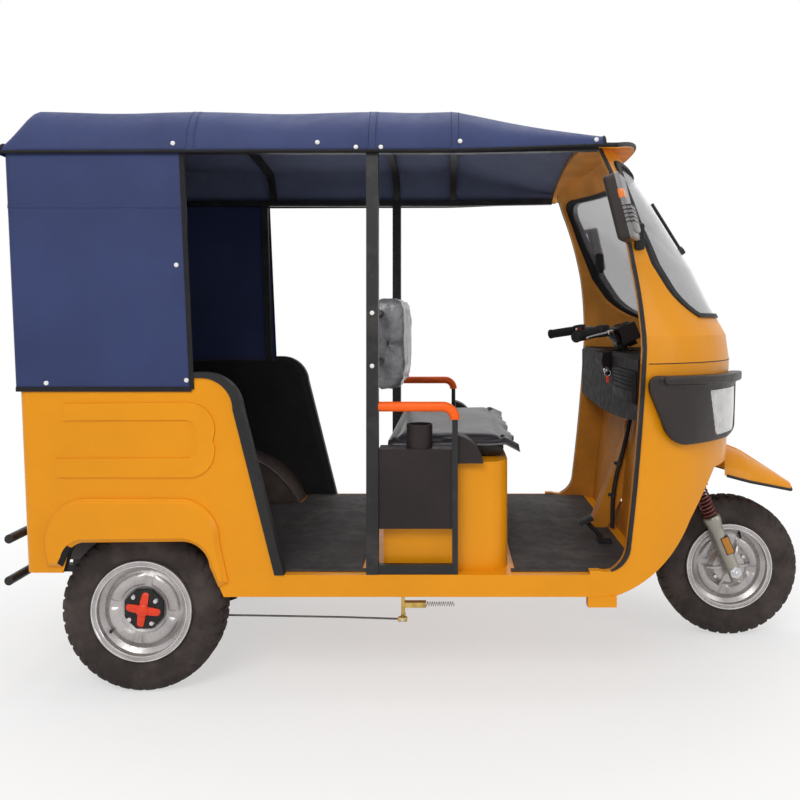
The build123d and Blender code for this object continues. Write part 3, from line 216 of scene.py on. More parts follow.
DUST = {"scale": 7.0, "low": 0.52, "high": 0.85, "most": 0.35, "colour": (0.33, 0.29, 0.24)}
ROAD_DUST = {"scale": 9.0, "low": 0.45, "high": 0.8, "most": 0.55, "colour": (0.2, 0.17, 0.145)}
COVER_FOLDS = ((1.0, 0.5, 1.0), 5.0, 0.12, 0.006)
WRAP_FOLDS = ((1.0, 1.0, 0.22), 30.0, 0.9, 0.01)
SEAT_FOLDS = ((1.0, 0.6, 1.0), 9.0, 0.5, 0.006)
LENS_RIBS = (60.0, "Z", 0.4, 0.0015)
MATS = {
    "body_yellow": surface("yellow paint", (0.79, 0.3, 0.006), 0.34, vary=0.05, patch=2.2, coat=0.1,
        specular=0.15, grain=(160.0, 0.04, 0.0005)),
    "black_paint": surface("black satin paint", (0.018, 0.017, 0.018), 0.42, vary=0.2, specular=0.3,
        dust={**DUST, "most": 0.16}),
    "black_plastic": surface("black grained plastic", (0.024, 0.0185, 0.0175), 0.52, vary=0.15,
        specular=0.2, grain=(900.0, 0.25, 0.0004)),
    "trim_rubber": surface("black rubber trim", (0.018, 0.017, 0.018), 0.6, vary=0.2, specular=0.25),
    "mat_rubber": surface("ribbed rubber mat", (0.05, 0.045, 0.046), 0.66, vary=0.2, specular=0.25,
        dust=DUST, ribs=(22.0, "Y", 0.9, 0.003)),
    "canopy_vinyl": vinyl_material("navy coated cloth", (0.031, 0.044, 0.125), 0.5),
    # The backing's grey is partly its own colour, lifted and blued as painted light shining through the cloth
    "canopy_inner": vinyl_material("grey blue cloth backing", (0.12, 0.142, 0.235), 0.7),
    "binding": surface("black woven binding", (0.014, 0.013, 0.015), 0.72, specular=0.2,
        ribs=(320.0, "DIAGONAL", 0.5, 0.0006)),
    "clear_film": glass_material("clear plastic film", (0.7, 0.74, 0.77), 0.3, 0.1),
    # The pane's grey base partly stands in for its reflection of the white surroundings, a painted reflection
    "screen_glass": glass_material("windscreen glass greyed as painted reflection", (0.37, 0.375, 0.39), 0.46),
    "lens_clear": surface("fluted headlamp lens", (0.47, 0.46, 0.44), 0.16, metal=0.35, vary=0.2,
        patch=26.0, coat=1.0, ribs=(26.0, "Y", 0.6, 0.003)),
    "lamp_red": surface("red lamp lens", (0.42, 0.012, 0.012), 0.18, coat=0.5, vary=0.2,
        ribs=(40.0, "Z", 0.4, 0.002)),
    "lamp_amber": surface("amber lamp lens", (0.85, 0.2, 0.012), 0.25, coat=0.3, vary=0.15, specular=0.3,
        ribs=LENS_RIBS),
    "mirror_glass": surface("silvered mirror", (0.85, 0.87, 0.9), 0.04, metal=1.0, vary=0.02, grain=None,
        rough_vary=0.02),
    "pod_grey": surface("dark grey grained plastic", (0.03, 0.0235, 0.0215), 0.4, vary=0.12,
        specular=0.22, grain=(520.0, 0.3, 0.0005), dust={**DUST, "most": 0.06}),
    "mirror_grey": surface("grey moulded plastic", (0.2, 0.19, 0.19), 0.35, vary=0.12,
        grain=(520.0, 0.3, 0.0005)),
    "arm_orange": surface("orange sleeve", (0.96, 0.125, 0.006), 0.38, vary=0.06, specular=0.25),
    "seat_cloth": surface("black seat vinyl", (0.03, 0.028, 0.03), 0.42, vary=0.2, patch=8.0,
        specular=0.35, grain=(420.0, 0.3, 0.0006), crease=SEAT_FOLDS),
    "seat_cover": surface("black seat cover with plastic sheen", (0.03, 0.026, 0.031), 0.36, vary=0.2,
        rough_vary=0.02, grain=None, crease=COVER_FOLDS),
    # The wrap's grey base is raised to stand in for the film's reflections, a painted sheen
    "seat_film": surface("loose plastic wrap greyed as painted sheen", (0.26, 0.26, 0.275), 0.2, vary=0.45, patch=14.0, coat=0.6,
        crease=WRAP_FOLDS, grain=None, alpha=0.55),
    "tyre_rubber": surface("tyre rubber", (0.044, 0.034, 0.032), 0.74, vary=0.22, patch=9.0, specular=0.2,
        dust={**ROAD_DUST, "most": 0.2}),
    "rim_silver": surface("silver wheel paint", (0.43, 0.405, 0.4), 0.32, metal=0.6, vary=0.16,
        patch=12.0, dust={**ROAD_DUST, "most": 0.3}),
    # A lighter copy of the rim silver for the flange lips, a painted highlight along the rim edge
    "rim_highlight_silver": surface("rim silver lightened as painted highlight", (0.6, 0.58, 0.58), 0.2, metal=0.85, vary=0.12,
        patch=20.0),
    "reflector": surface("amber reflector", (0.52, 0.21, 0.015), 0.2, coat=0.3, vary=0.15, specular=0.3,
        ribs=LENS_RIBS),
    "fork_silver": surface("cast aluminium", (0.38, 0.36, 0.31), 0.42, metal=0.7, vary=0.15,
        grain=(300.0, 0.4, 0.0008)),
    "spring_red": surface("red spring paint", (0.17, 0.03, 0.024), 0.4, vary=0.2, coat=0.2),
    "zinc_gold": surface("yellow zinc plate", (0.6, 0.42, 0.12), 0.34, metal=0.75, vary=0.25,
        patch=30.0),
    "motor_grey": surface("painted casting", (0.11, 0.11, 0.115), 0.55, vary=0.2, dust=ROAD_DUST,
        grain=(160.0, 0.5, 0.001)),
    "battery_case": surface("battery case plastic", (0.08, 0.08, 0.09), 0.5),
    "steel": surface("bright plated steel", (0.6, 0.6, 0.61), 0.22, metal=1.0, patch=30.0),
    "rod_grey": surface("dull plated rod", (0.16, 0.155, 0.15), 0.45, metal=0.5, vary=0.2, patch=30.0),
    "hub_red": surface("red hub cap", (0.8, 0.055, 0.018), 0.4, specular=0.3),
    "snap_white": surface("white snap cap", (0.78, 0.77, 0.74), 0.4, vary=0.05),
    "dial": surface("dark dial face", (0.015, 0.016, 0.018), 0.12, coat=0.6, vary=0.2, grain=None),
    "dash_plastic": surface("smooth dash plastic", (0.02, 0.017, 0.017), 0.5, vary=0.12, specular=0.02,
        grain=(900.0, 0.06, 0.0003)),
    # Black housing paint with real dust, its base lightened well above the black paint as painted light on
    # the shaded housings
    "lit_housing_black": surface("dusty housing paint lightened as painted light", (0.085, 0.064, 0.06), 0.5, vary=0.2, dust=DUST),
    "lining": surface("black inner lining", (0.016, 0.015, 0.016), 0.7, vary=0.2, specular=0.2,
        grain=(300.0, 0.5, 0.001)),
    # Yellow paint lifted and greyed as painted bounce light, for the cab's upper inside faces and the brow's
    # underside
    "bounce_painted_yellow": surface("yellow paint lifted and greyed as painted bounce light", (0.8, 0.335, 0.06), 0.62, vary=0.14, patch=7.0,
        specular=0.2, grain=(130.0, 0.4, 0.0012)),
    # Yellow paint darkened as painted shade, for the cab's lower inside faces, the toe board and the steering
    # head
    "shade_painted_yellow": surface("yellow paint darkened as painted shade", (0.48, 0.185, 0.016), 0.62, vary=0.14, patch=7.0,
        specular=0.2, grain=(130.0, 0.4, 0.0012)),
}
for row in frame["record"]["subparts"]:
    mesh = NODES[row["node"]].data
    mesh.materials.clear()
    mesh.materials.append(MATS[row["material_slot"]])


def paint_faces(node, key, wanted):
    mesh = NODES[node].data
    mesh.materials.append(MATS[key])
    slot = len(mesh.materials) - 1
    for face in mesh.polygons:
        if wanted(face.center, face.normal):
            face.material_index = slot


def cab_inside(centre, normal):
    return Vector((centre.x - CAB_MIDDLE_X, centre.y, 0.0)).dot(normal) < -0.02


paint_faces("rear_side_right", "lining", lambda c, n: n.y > 0.5 or (n.x > 0.5 and c.x < -1.1))
paint_faces("rear_side_left", "lining", lambda c, n: n.y < -0.5 or (n.x > 0.5 and c.x < -1.1))
paint_faces("rear_panel", "lining", lambda c, n: n.x > 0.5)
# The cab's upper inside faces and the brow's underside take the lifted, greyed yellow as painted bounce light
paint_faces("cab_upper_shell", "bounce_painted_yellow", cab_inside)
# The cab's lower inside faces take the darkened yellow as painted shade
paint_faces("cab_lower_shell", "shade_painted_yellow", cab_inside)
paint_faces("roof_brow", "bounce_painted_yellow", lambda c, n: n.z < -0.5)
# The toe board and steering head take the darkened yellow as painted shade; the wheel housings take the
# lightened housing black as painted light
for node, key in (("toe_board", "shade_painted_yellow"), ("steering_head", "shade_painted_yellow"),
                  ("dashboard", "dash_plastic"), ("wheel_housings", "lit_housing_black")):
    paint_faces(node, key, lambda c, n: True)


# Mesh helpers: those that add to a bmesh take a material number
def full_turn(count, start=0.0):
    return [start + 2 * pi * k / count for k in range(count)]


def spoke(angle, reach=1.0):
    return Vector((cos(angle) * reach, 0.0, sin(angle) * reach))


def add_grid(bm, rows, number=0, close_rows=False, close_cols=False, flip=False):
    verts = [[bm.verts.new(p) for p in row] for row in rows]
    count = len(verts)
    width = len(verts[0])
    for i in range(count if close_rows else count - 1):
        here, ahead = verts[i], verts[(i + 1) % count]
        for j in range(width if close_cols else width - 1):
            k = (j + 1) % width
            ring = [here[j], ahead[j], ahead[k], here[k]]
            bm.faces.new(ring[::-1] if flip else ring).material_index = number
    return verts


def add_tube(bm, points, radius, number=0, sides=10, caps=True, taper=None):
    path = [Vector(p) for p in points]
    rings = []
    last = None
    for i, here in enumerate(path):
        ahead = path[min(i + 1, len(path) - 1)] - path[max(i - 1, 0)]
        ahead.normalize()
        side = ahead.cross(UP) if last is None else last - ahead * last.dot(ahead)
        if side.length < 1e-5:
            side = ahead.cross(Vector((1.0, 0.0, 0.0)))
        side.normalize()
        last = side
        other = ahead.cross(side)
        size = radius if taper is None else radius * taper(i / (len(path) - 1))
        rings.append([here + (side * cos(a) + other * sin(a)) * size for a in full_turn(sides)])
    verts = add_grid(bm, rings, number, close_cols=True, flip=True)
    if caps:
        bm.faces.new(verts[0]).material_index = number
        bm.faces.new(verts[-1][::-1]).material_index = number


def add_revolve(bm, profile, centre, axis, number=0, sides=32, start=0.0):
    direction = Vector(axis).normalized()
    side = direction.orthogonal().normalized()
    other = direction.cross(side)
    rings = []
    for r, along in profile:
        middle = Vector(centre) + direction * along
        rings.append([middle + (side * cos(a) + other * sin(a)) * r for a in full_turn(sides, start)])
    verts = add_grid(bm, rings, number, close_cols=True)
    if profile[0][0] > 1e-6:
        bm.faces.new(verts[0][::-1]).material_index = number
    if profile[-1][0] > 1e-6:
        bm.faces.new(verts[-1]).material_index = number


def add_block(bm, low, high, number=0, bevel=0.003, turn=None, segments=2):
    before = set(bm.faces)
    middle = [(a + b) / 2 for a, b in zip(low, high)]
    size = [b - a for a, b in zip(low, high)]
    matrix = Matrix.Translation(middle)
    if turn is not None:
        matrix = matrix @ turn
    matrix = matrix @ Matrix.Diagonal((size[0], size[1], size[2], 1.0))
    made = bmesh.ops.create_cube(bm, size=1.0, matrix=matrix)
    edges = list({e for v in made["verts"] for e in v.link_edges})
    bmesh.ops.bevel(bm, geom=edges, offset=bevel, segments=segments, affect="EDGES", profile=0.5)
    for face in bm.faces:
        if face not in before:
            face.material_index = number


def block_round(bm, middle, half, number, bevel, turn=None):
    half = Vector(half)
    add_block(bm, middle - half, middle + half, number, bevel, turn)


def link_mesh(mesh, name, materials):
    for face in mesh.polygons:
        face.use_smooth = True
    for key in materials:
        mesh.materials.append(MATS[key])
    obj = bpy.data.objects.new(name, mesh)
    SCENE.collection.objects.link(obj)
    return obj


def mesh_object(bm, name, materials):
    mesh = bpy.data.meshes.new(name)
    bm.to_mesh(mesh)
    bm.free()
    return link_mesh(mesh, name, materials)


def make_piece(bm, name, materials, body, sharp=35.0):
    bmesh.ops.recalc_face_normals(bm, faces=bm.faces[:])
    obj = mesh_object(bm, name, materials)
    obj.data.set_sharp_from_angle(angle=radians(sharp))
    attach(obj, body)
    return obj


def arc_points(first, middle, last, count):
    ax, ay = first
    bx, by = middle
    cx, cy = last
    d = 2 * (ax * (by - cy) + bx * (cy - ay) + cx * (ay - by))
    if abs(d) < 1e-9:
        return [(ax + (cx - ax) * k / (count - 1), ay + (cy - ay) * k / (count - 1)) for k in range(count)]
    a_sq, b_sq, c_sq = ax * ax + ay * ay, bx * bx + by * by, cx * cx + cy * cy
    ux = (a_sq * (by - cy) + b_sq * (cy - ay) + c_sq * (ay - by)) / d
    uy = (a_sq * (cx - bx) + b_sq * (ax - cx) + c_sq * (bx - ax)) / d
    r = hypot(ax - ux, ay - uy)
    a0 = atan2(ay - uy, ax - ux)
    a1 = atan2(by - uy, bx - ux)
    a2 = atan2(cy - uy, cx - ux)
    while a1 < a0:
        a1 += 2 * pi
    while a2 < a0:
        a2 += 2 * pi
    if a1 > a2:
        a2 -= 2 * pi
    turns = [a0 + (a2 - a0) * k / (count - 1) for k in range(count)]
    return [(ux + r * cos(a), uy + r * sin(a)) for a in turns]


# Tyres with a moulded tread
TREAD_BLOCKS = 40
TREAD_HALF_W = 0.02
SHOULDER = (TYRE_R - 0.014, -0.046)
TYRE_STEPS = 320
WALL_MARKS = 48


def tyre_profile():
    belly = (BEAD_R + TYRE_R) / 2 + 0.005
    side = arc_points((BEAD_R + 0.016, -0.043), (belly, -TYRE_HALF_W), SHOULDER, 12)
    shoulder = arc_points(SHOULDER, (TYRE_R - 0.004, -0.037), (TYRE_R, -TREAD_HALF_W), 7)
    half = [(BEAD_R + 0.0005, -0.042)] + side + shoulder[1:]
    tread = [(TYRE_R, -TREAD_HALF_W + 2 * TREAD_HALF_W * k / 16) for k in range(1, 16)]
    return half + tread + [(r, -y) for r, y in reversed(half)]


def tread_depth(angle, y):
    # zigzag grooves, a centre cut and slanted cuts over the shoulders
    phase = angle * TREAD_BLOCKS / (2 * pi)
    across = abs(y)
    zig = 0.0022 * (abs((phase % 1.0) * 4 - 2) - 1)
    if abs(across - 0.0125 - zig) < 0.0024:
        return 0.006
    if abs(y - zig * 0.6) < 0.0012:
        return 0.004
    if across > 0.0165:
        slant = phase + (0.25 if y > 0 else 0.75) + across * 9.0
        if slant % 1.0 < 0.26:
            return 0.0055 * min(1.0, (across - 0.0165) / 0.003)
    return 0.0


def add_tyre(name, centre, body):
    bm = bmesh.new()
    middle = Vector(centre)
    rows = []
    for a in full_turn(TYRE_STEPS):
        ring = []
        for r, y in tyre_profile():
            if r > TYRE_R - 0.016:
                r -= tread_depth(a, y)
            elif abs(r - 0.186) < 0.003 or abs(r - 0.232) < 0.002:
                y += copysign(0.0012, y)
            ring.append((centre[0] + r * cos(a), centre[1] + y, centre[2] + r * sin(a)))
        rows.append(ring)
    add_grid(bm, rows, close_rows=True)
    for k in range(WALL_MARKS):
        a = 2 * pi * (k + 0.5) / WALL_MARKS
        for side in SIDES:
            start = middle + spoke(a, 0.24) + Vector((0.0, side * 0.0505, 0.0))
            end = middle + spoke(a + 0.05, 0.252) + Vector((0.0, side * 0.0475, 0.0))
            add_tube(bm, [start, end], 0.0022, sides=6)
    piece = make_piece(bm, name + "_tread", ["tyre_rubber"], body, sharp=40.0)
    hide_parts(name)


add_tyre("front_tyre", (FRONT_AXLE_X, 0.0, AXLE_Z), "front_wheel")
add_tyre("rear_right_tyre", (REAR_AXLE_X, -REAR_WHEEL_Y, AXLE_Z), "rear_wheel_right")
add_tyre("rear_left_tyre", (REAR_AXLE_X, REAR_WHEEL_Y, AXLE_Z), "rear_wheel_left")

# Wheel details: hub bars by distance out, half width and height, disc bulges by radius, face and share
HUB_TURN = radians(-10)
CAP_ARM = [(0.0, 0.013, 0.021), (0.03, 0.0125, 0.02), (0.05, 0.011, 0.017), (0.058, 0.008, 0.011)]
CAP_ARM_SECTION = [(-1.0, 0.0), (-1.0, 0.8), (0.0, 1.0), (1.0, 0.8), (1.0, 0.0)]
HUB_RIB = [(0.028, 0.0045, 0.025), (0.058, 0.0045, 0.025), (0.07, 0.0042, 0.0205), (0.084, 0.0036, 0.0105)]
HUB_RIB_SECTION = [(-1.0, 0.0), (-1.0, 1.0), (1.0, 1.0), (1.0, 0.0)]
BULGE_HEIGHT = 0.0085
BULGE_STEPS = 24
BULGE = [(0.077, 0.025, 0.0), (0.083, 0.0265, 0.6), (0.092, 0.0278, 0.95), (0.1, 0.029, 1.0),
         (0.108, 0.03, 0.9), (0.116, 0.0288, 0.5), (0.121, 0.0262, 0.0)]
FLANGE_OUT = 0.05
FLANGE_LIPS = [{"ring": 0.1628, "thick": 0.0034}, {"ring": 0.1484, "thick": 0.0026}]
STUD = [(0.0001, 0.02), (0.007, 0.0195), (0.009, 0.017), (0.009, -0.002)]
CAP = [(0.0001, 0.012), (0.062, 0.011), (0.068, 0.006), (0.07, -0.004)]
CAP_BOSS = [(0.0001, 0.027), (0.014, 0.026), (0.0205, 0.021), (0.021, 0.006)]
HUBS = [
    {"name": "front_hub_right", "x": FRONT_AXLE_X, "y": 0.0, "out": -1.0, "body": "front_wheel",
     "face": 0.03, "cap": False, "studs": 0.066, "valve": radians(69)},
    {"name": "rear_right_hub", "x": REAR_AXLE_X, "y": -REAR_WHEEL_Y, "out": -1.0, "body": "rear_wheel_right",
     "face": 0.024, "cap": True, "studs": 0.052, "valve": radians(214)},
    {"name": "rear_left_hub", "x": REAR_AXLE_X, "y": REAR_WHEEL_Y, "out": 1.0, "body": "rear_wheel_left",
     "face": 0.024, "cap": True, "studs": 0.052, "valve": radians(130)},
]


def add_radial_bar(bm, foot, arm, outward, stations, section, number):
    side = outward.cross(arm)
    rings = []
    for along, half, high in stations:
        base = foot + arm * along
        rings.append([base + side * (half * across) + outward * (high * lift) for across, lift in section])
    verts = add_grid(bm, rings, number)
    bm.faces.new(verts[-1]).material_index = number
    return verts


for hub in HUBS:
    bm = bmesh.new()
    centre = Vector((hub["x"], hub["y"], AXLE_Z))
    outward = Vector((0.0, hub["out"], 0.0))
    face = centre + outward * hub["face"]
    way = spoke(hub["valve"])
    valve = centre + way * 0.136 + outward * 0.02
    stem = [valve, valve + outward * 0.014 - way * 0.008, valve + outward * 0.03 - way * 0.016]
    add_tube(bm, stem, 0.0045, 1)
    # The flange lips take the lighter rim silver, a painted highlight
    for lip in FLANGE_LIPS:
        points = [centre + spoke(2 * pi * k / 96) * lip["ring"] + outward * FLANGE_OUT for k in range(97)]
        add_tube(bm, points, lip["thick"], 4, caps=False)
    for k in range(4):
        rows = []
        for i in range(BULGE_STEPS + 1):
            way = spoke(HUB_TURN + radians(90 * k + 6 + 78 * i / BULGE_STEPS))
            rise = min(1.0, 2.2 * sin(pi * i / BULGE_STEPS)) ** 0.5 * BULGE_HEIGHT
            rows.append([centre + way * r + outward * (base + share * rise) for r, base, share in BULGE])
        add_grid(bm, rows, 0, flip=hub["out"] > 0.0)
    for k in range(4):
        add_revolve(bm, STUD, face + spoke(pi / 2 * (k + 0.5) + HUB_TURN, hub["studs"]), outward, 2, 6)
    if hub["cap"]:
        add_revolve(bm, CAP, face, outward, 1, 8, start=pi / 8)
        for k in range(4):
            add_radial_bar(bm, face, spoke(pi / 2 * k + HUB_TURN), outward, CAP_ARM, CAP_ARM_SECTION, 3)
        add_revolve(bm, CAP_BOSS, face, outward, 3, 24)
    else:
        foot = face - outward * 0.004
        for k in range(6):
            ends = add_radial_bar(bm, foot, spoke(radians(60 * k + 4)), outward, HUB_RIB, HUB_RIB_SECTION, 0)
            bm.faces.new(ends[0][::-1])
    make_piece(bm, hub["name"], ["rim_silver", "trim_rubber", "steel", "hub_red", "rim_highlight_silver"], hub["body"])


# Canopy: one continuous sheet over the bows, with a flap over the top of the rear curtain
CANOPY_REAR_X = CANOPY_ROWS[0]["x"]
CANOPY_FRONT_X = CANOPY_ROWS[-1]["x"]
FLAP_LOW_Z = 1.744
SOFT_BEND = 0.012
SEAM_BAND = ((-0.016, 0.0), (-0.0155, 0.0012), (0.0155, 0.0012), (0.016, 0.0))


def canopy_section(row):
    w, low, ty, tz, crown = row["w"], row["low"], row["ty"], row["tz"], row["crown"]
    bulge = (w * 0.55 + ty * 0.45 + 0.004, low * 0.3 + tz * 0.7)
    if tz - low < 0.06:
        bulge = (w - 0.003, low * 0.4 + tz * 0.6)
    right = arc_points((-w, low), (-bulge[0], bulge[1]), (-ty, tz), 12)
    top = arc_points((-ty, tz), (0.0, crown), (ty, tz), 31)
    return right + top[1:-1] + [(-y, z) for y, z in reversed(right)]


SECTIONS = [canopy_section(row) for row in CANOPY_ROWS]


def canopy_point(x, j):
    x = min(max(x, CANOPY_REAR_X), CANOPY_FRONT_X)
    for i in range(len(CANOPY_ROWS) - 1):
        x0, x1 = CANOPY_ROWS[i]["x"], CANOPY_ROWS[i + 1]["x"]
        if x <= x1:
            f = (x - x0) / (x1 - x0)
            a, b = SECTIONS[i][j], SECTIONS[i + 1][j]
            return a[0] + (b[0] - a[0]) * f, a[1] + (b[1] - a[1]) * f
    return SECTIONS[-1][j]


def bow_sag(x):
    stops = BOW_XS + [0.55]
    for a, b in zip(stops, stops[1:]):
        if a < x < b:
            return sin(pi * (x - a) / (b - a)) ** 2 * min(0.008, (b - a) * 0.014)
    return 0.0


def canopy_surface(x, j, lift=0.0):
    near = [canopy_point(x + d, j) for d in (-SOFT_BEND, 0.0, SOFT_BEND)]
    y = sum(p[0] for p in near) / 3
    z = sum(p[1] for p in near) / 3
    height = min(1.0, max(0.0, (z - 1.775) / 0.1))
    wrinkle = noise.noise(Vector((x * 5.0, y * 6.0, 3.0))) * 0.0022 * height
    drop = bow_sag(x) * height - wrinkle
    middle = Vector((0.0, y, z - 1.55))
    middle.normalize()
    inward = drop + 0.0006 - lift
    edge = 1.0 if 0 < j < len(SECTIONS[0]) - 1 else 0.0
    return Vector((x, y - middle.y * inward * edge, z - middle.z * inward * edge))


def spaced(first, last, step):
    count = max(2, int(round((last - first) / step)) + 1)
    return [first + (last - first) * k / (count - 1) for k in range(count)]


def cloth_piece(name, cloth, thickness, materials=("canopy_vinyl",), flip=False,
                offset=0.0):
    # cloth is a grid of points or a ready bmesh; a second material is the cloth's inner face
    bm = cloth
    if isinstance(cloth, list):
        bm = bmesh.new()
        add_grid(bm, cloth, flip=flip)
    obj = mesh_object(bm, name, materials)
    solid = obj.modifiers.new("thickness", "SOLIDIFY")
    solid.thickness = thickness
    solid.offset = offset
    solid.material_offset = len(materials) - 1
    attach(obj, "chassis")
    return obj


rear_bend_x = CANOPY_ROWS[1]["x"]
canopy_xs = spaced(CANOPY_REAR_X, rear_bend_x, 0.01)[:-1] + spaced(rear_bend_x, CANOPY_FRONT_X, 0.0165)
span = range(len(SECTIONS[0]))
canopy_rows = [[canopy_surface(x, j) for j in span] for x in canopy_xs]
canopy_faces = ("canopy_vinyl", "canopy_inner")
canopy = cloth_piece("canopy_sheet", canopy_rows, 0.0022, materials=canopy_faces, offset=-1.0)
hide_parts("canopy_roof")

bm = bmesh.new()
for x in BOW_XS[1:]:
    add_grid(bm, [[canopy_surface(x + d, j, lift) for j in span] for d, lift in SEAM_BAND])
    for d in (-0.011, 0.011):
        points = [canopy_surface(x + d, j, 0.0014) for j in span]
        for a, b in zip(points, points[1:]):
            for k in range(4):
                add_tube(bm, [a.lerp(b, k / 4 + 0.03), a.lerp(b, k / 4 + 0.19)], 0.0007, 1, sides=5)
seams = make_piece(bm, "canopy_seams", ["canopy_vinyl", "binding"], "chassis")

bm = bmesh.new()
for j, side in ((0, -1.0), (len(span) - 1, 1.0)):
    lift = Vector((0.0, side * 0.001, 0.003))
    add_tube(bm, [canopy_surface(x, j) + lift for x in canopy_xs[::4] + [CANOPY_FRONT_X]], 0.0052)
rear_edge = [canopy_surface(CANOPY_REAR_X, j) + Vector((0.001, 0.0, 0.003)) for j in span]
add_tube(bm, rear_edge, 0.005)
add_grid(bm, [[p + Vector((0.0005, 0.0, -0.001)) for p in rear_edge],
              [Vector((-1.3615, p.y, FLAP_LOW_Z)) for p in rear_edge],
              [Vector((-1.3597, p.y, FLAP_LOW_Z)) for p in rear_edge],
              [p + Vector((0.0023, 0.0, -0.001)) for p in rear_edge]], 1)
front_edge = [canopy_surface(CANOPY_FRONT_X, j) + Vector((-0.004, 0.0, -0.0008)) for j in span]
add_tube(bm, front_edge, 0.0046)
piping = make_piece(bm, "canopy_piping", ["binding", "canopy_vinyl"], "chassis")

# Curtains
CURTAIN_Y = 0.5779
CURTAIN_LOW_Z = 1.002
CURTAIN_HEIGHT = 0.763
CURTAIN_TOP_Z = 1.765
CURTAIN_ROWS = 55
CURTAIN_COLUMNS = 60
CURTAIN_SEAM_ROW = 42
CURTAIN_SEAM_Z = 1.585
CORNER_R = 0.0112
SPLIT_Y = 0.495
WINDOW_HALF_W = 0.32
WINDOW_LOW_Z = 1.26
WINDOW_TOP_Z = 1.58
HEM_HALF_W = 0.0075
HEM_PROUD = 0.0034
BACK = Vector((-1.0, 0.0, 0.0))


def curtain_rear_x(z):
    return -1.3181 - (z - 1.0) / 0.766 * 0.0356


def curtain_front_x(z):
    return -0.755 - (z - 0.99) / 0.785 * 0.035


def curtain_path(z, s):
    # s from 0 at the front edge to 1 at the split on the rear face
    front, rear = curtain_front_x(z), curtain_rear_x(z)
    straight = front - (rear + CORNER_R)
    bend = CORNER_R * pi / 2
    back = CURTAIN_Y - CORNER_R - SPLIT_Y
    run = s * (straight + bend + back)
    if run < straight:
        return front - run, CURTAIN_Y, (0.0, 1.0)
    if run < straight + bend:
        a = (run - straight) / CORNER_R
        x = rear + CORNER_R - CORNER_R * sin(a)
        return x, CURTAIN_Y - CORNER_R + CORNER_R * cos(a), (-sin(a), cos(a))
    return rear, CURTAIN_Y - CORNER_R - (run - straight - bend), (-1.0, 0.0)


def curtain_point(z, s, side):
    x, y, n = curtain_path(z, s)
    free = sin(pi * min(1.0, s * 1.25)) * sin(pi * min(1.0, (CURTAIN_TOP_Z - z) / 0.74 + 0.06))
    fold = noise.noise(Vector((s * 5.0, z * 1.3 + side, 7.0))) * 0.0042 + sin(s * 17.0 + z * 2.2) * 0.0012
    out = max(-0.0012, fold * max(0.12, free) + 0.0014 * free)
    return Vector((x + n[0] * out, side * (y + n[1] * out), z))


def curtain_normals(z, side):
    found = [curtain_path(z, k / CURTAIN_COLUMNS)[2] for k in range(CURTAIN_COLUMNS + 1)]
    return [Vector((x, side * y, 0.0)) for x, y in found]


def add_strip(bm, points, normals, across, sink, half=HEM_HALF_W, proud=HEM_PROUD, number=0):
    rows = []
    for p, n in zip(points, normals):
        p = p - n * sink
        rows.append([p - across * half, p - across * half + n * proud, p + across * half + n * proud,
                     p + across * half])
    add_grid(bm, rows, number)


for label, side in (("right", -1.0), ("left", 1.0)):
    heights = [CURTAIN_LOW_Z + CURTAIN_HEIGHT * i / CURTAIN_ROWS for i in range(CURTAIN_ROWS + 1)]
    shares = [k / CURTAIN_COLUMNS for k in range(CURTAIN_COLUMNS + 1)]
    rows = [[curtain_point(z, s, side) for s in shares] for z in heights]
    curtain = cloth_piece("side_curtain_" + label, rows, 0.0012)
    bm = bmesh.new()
    out = Vector((0.0, side, 0.0))
    front = [row[0] for row in rows]
    across = out.cross((front[-1] - front[0]).normalized()).normalized()
    add_strip(bm, front, [out] * len(front), across, 0.001)
    add_strip(bm, rows[0], curtain_normals(CURTAIN_LOW_Z, side), UP, 0.001)
    add_strip(bm, rows[CURTAIN_SEAM_ROW], curtain_normals(CURTAIN_SEAM_Z, side), UP, 0.0004, 0.006, 0.0022, 1)
    edging = make_piece(bm, "curtain_binding_" + label, ["binding", "canopy_vinyl"], "chassis",
                        sharp=60.0)
    if side < 0:
        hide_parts("side_curtains")


def rear_point(y, z):
    free = max(0.0, cos(y * pi / 1.04)) * sin(pi * min(1.0, (CURTAIN_TOP_Z - z) / CURTAIN_HEIGHT))
    fold = noise.noise(Vector((y * 4.0, z * 1.6, 1.0))) * 0.003 * free
    return Vector((curtain_rear_x(z) - fold - 0.001 * free, y, z))


def stops_through(first, inner_first, inner_last, last):
    middle = spaced(inner_first, inner_last, 0.02)
    return spaced(first, inner_first, 0.02)[:-1] + middle + spaced(inner_last, last, 0.02)[1:]


ys = stops_through(-SPLIT_Y, -WINDOW_HALF_W, WINDOW_HALF_W, SPLIT_Y)
zs = stops_through(CURTAIN_LOW_Z, WINDOW_LOW_Z, WINDOW_TOP_Z, CURTAIN_TOP_Z)
bm = bmesh.new()
grid = [[bm.verts.new(rear_point(y, z)) for y in ys] for z in zs]
for i in range(len(zs) - 1):
    beside_window = WINDOW_LOW_Z < (zs[i] + zs[i + 1]) / 2 < WINDOW_TOP_Z
    for j in range(len(ys) - 1):
        if not (beside_window and abs(ys[j] + ys[j + 1]) / 2 < WINDOW_HALF_W):
            bm.faces.new([grid[i][j], grid[i + 1][j], grid[i + 1][j + 1], grid[i][j + 1]])
bmesh.ops.delete(bm, geom=[v for v in bm.verts if not v.link_faces], context="VERTS")
rear_area = sum(f.calc_area() for f in bm.faces)
rear_cloth = cloth_piece("rear_curtain_sheet", bm, 0.0012)
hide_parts("rear_curtain")

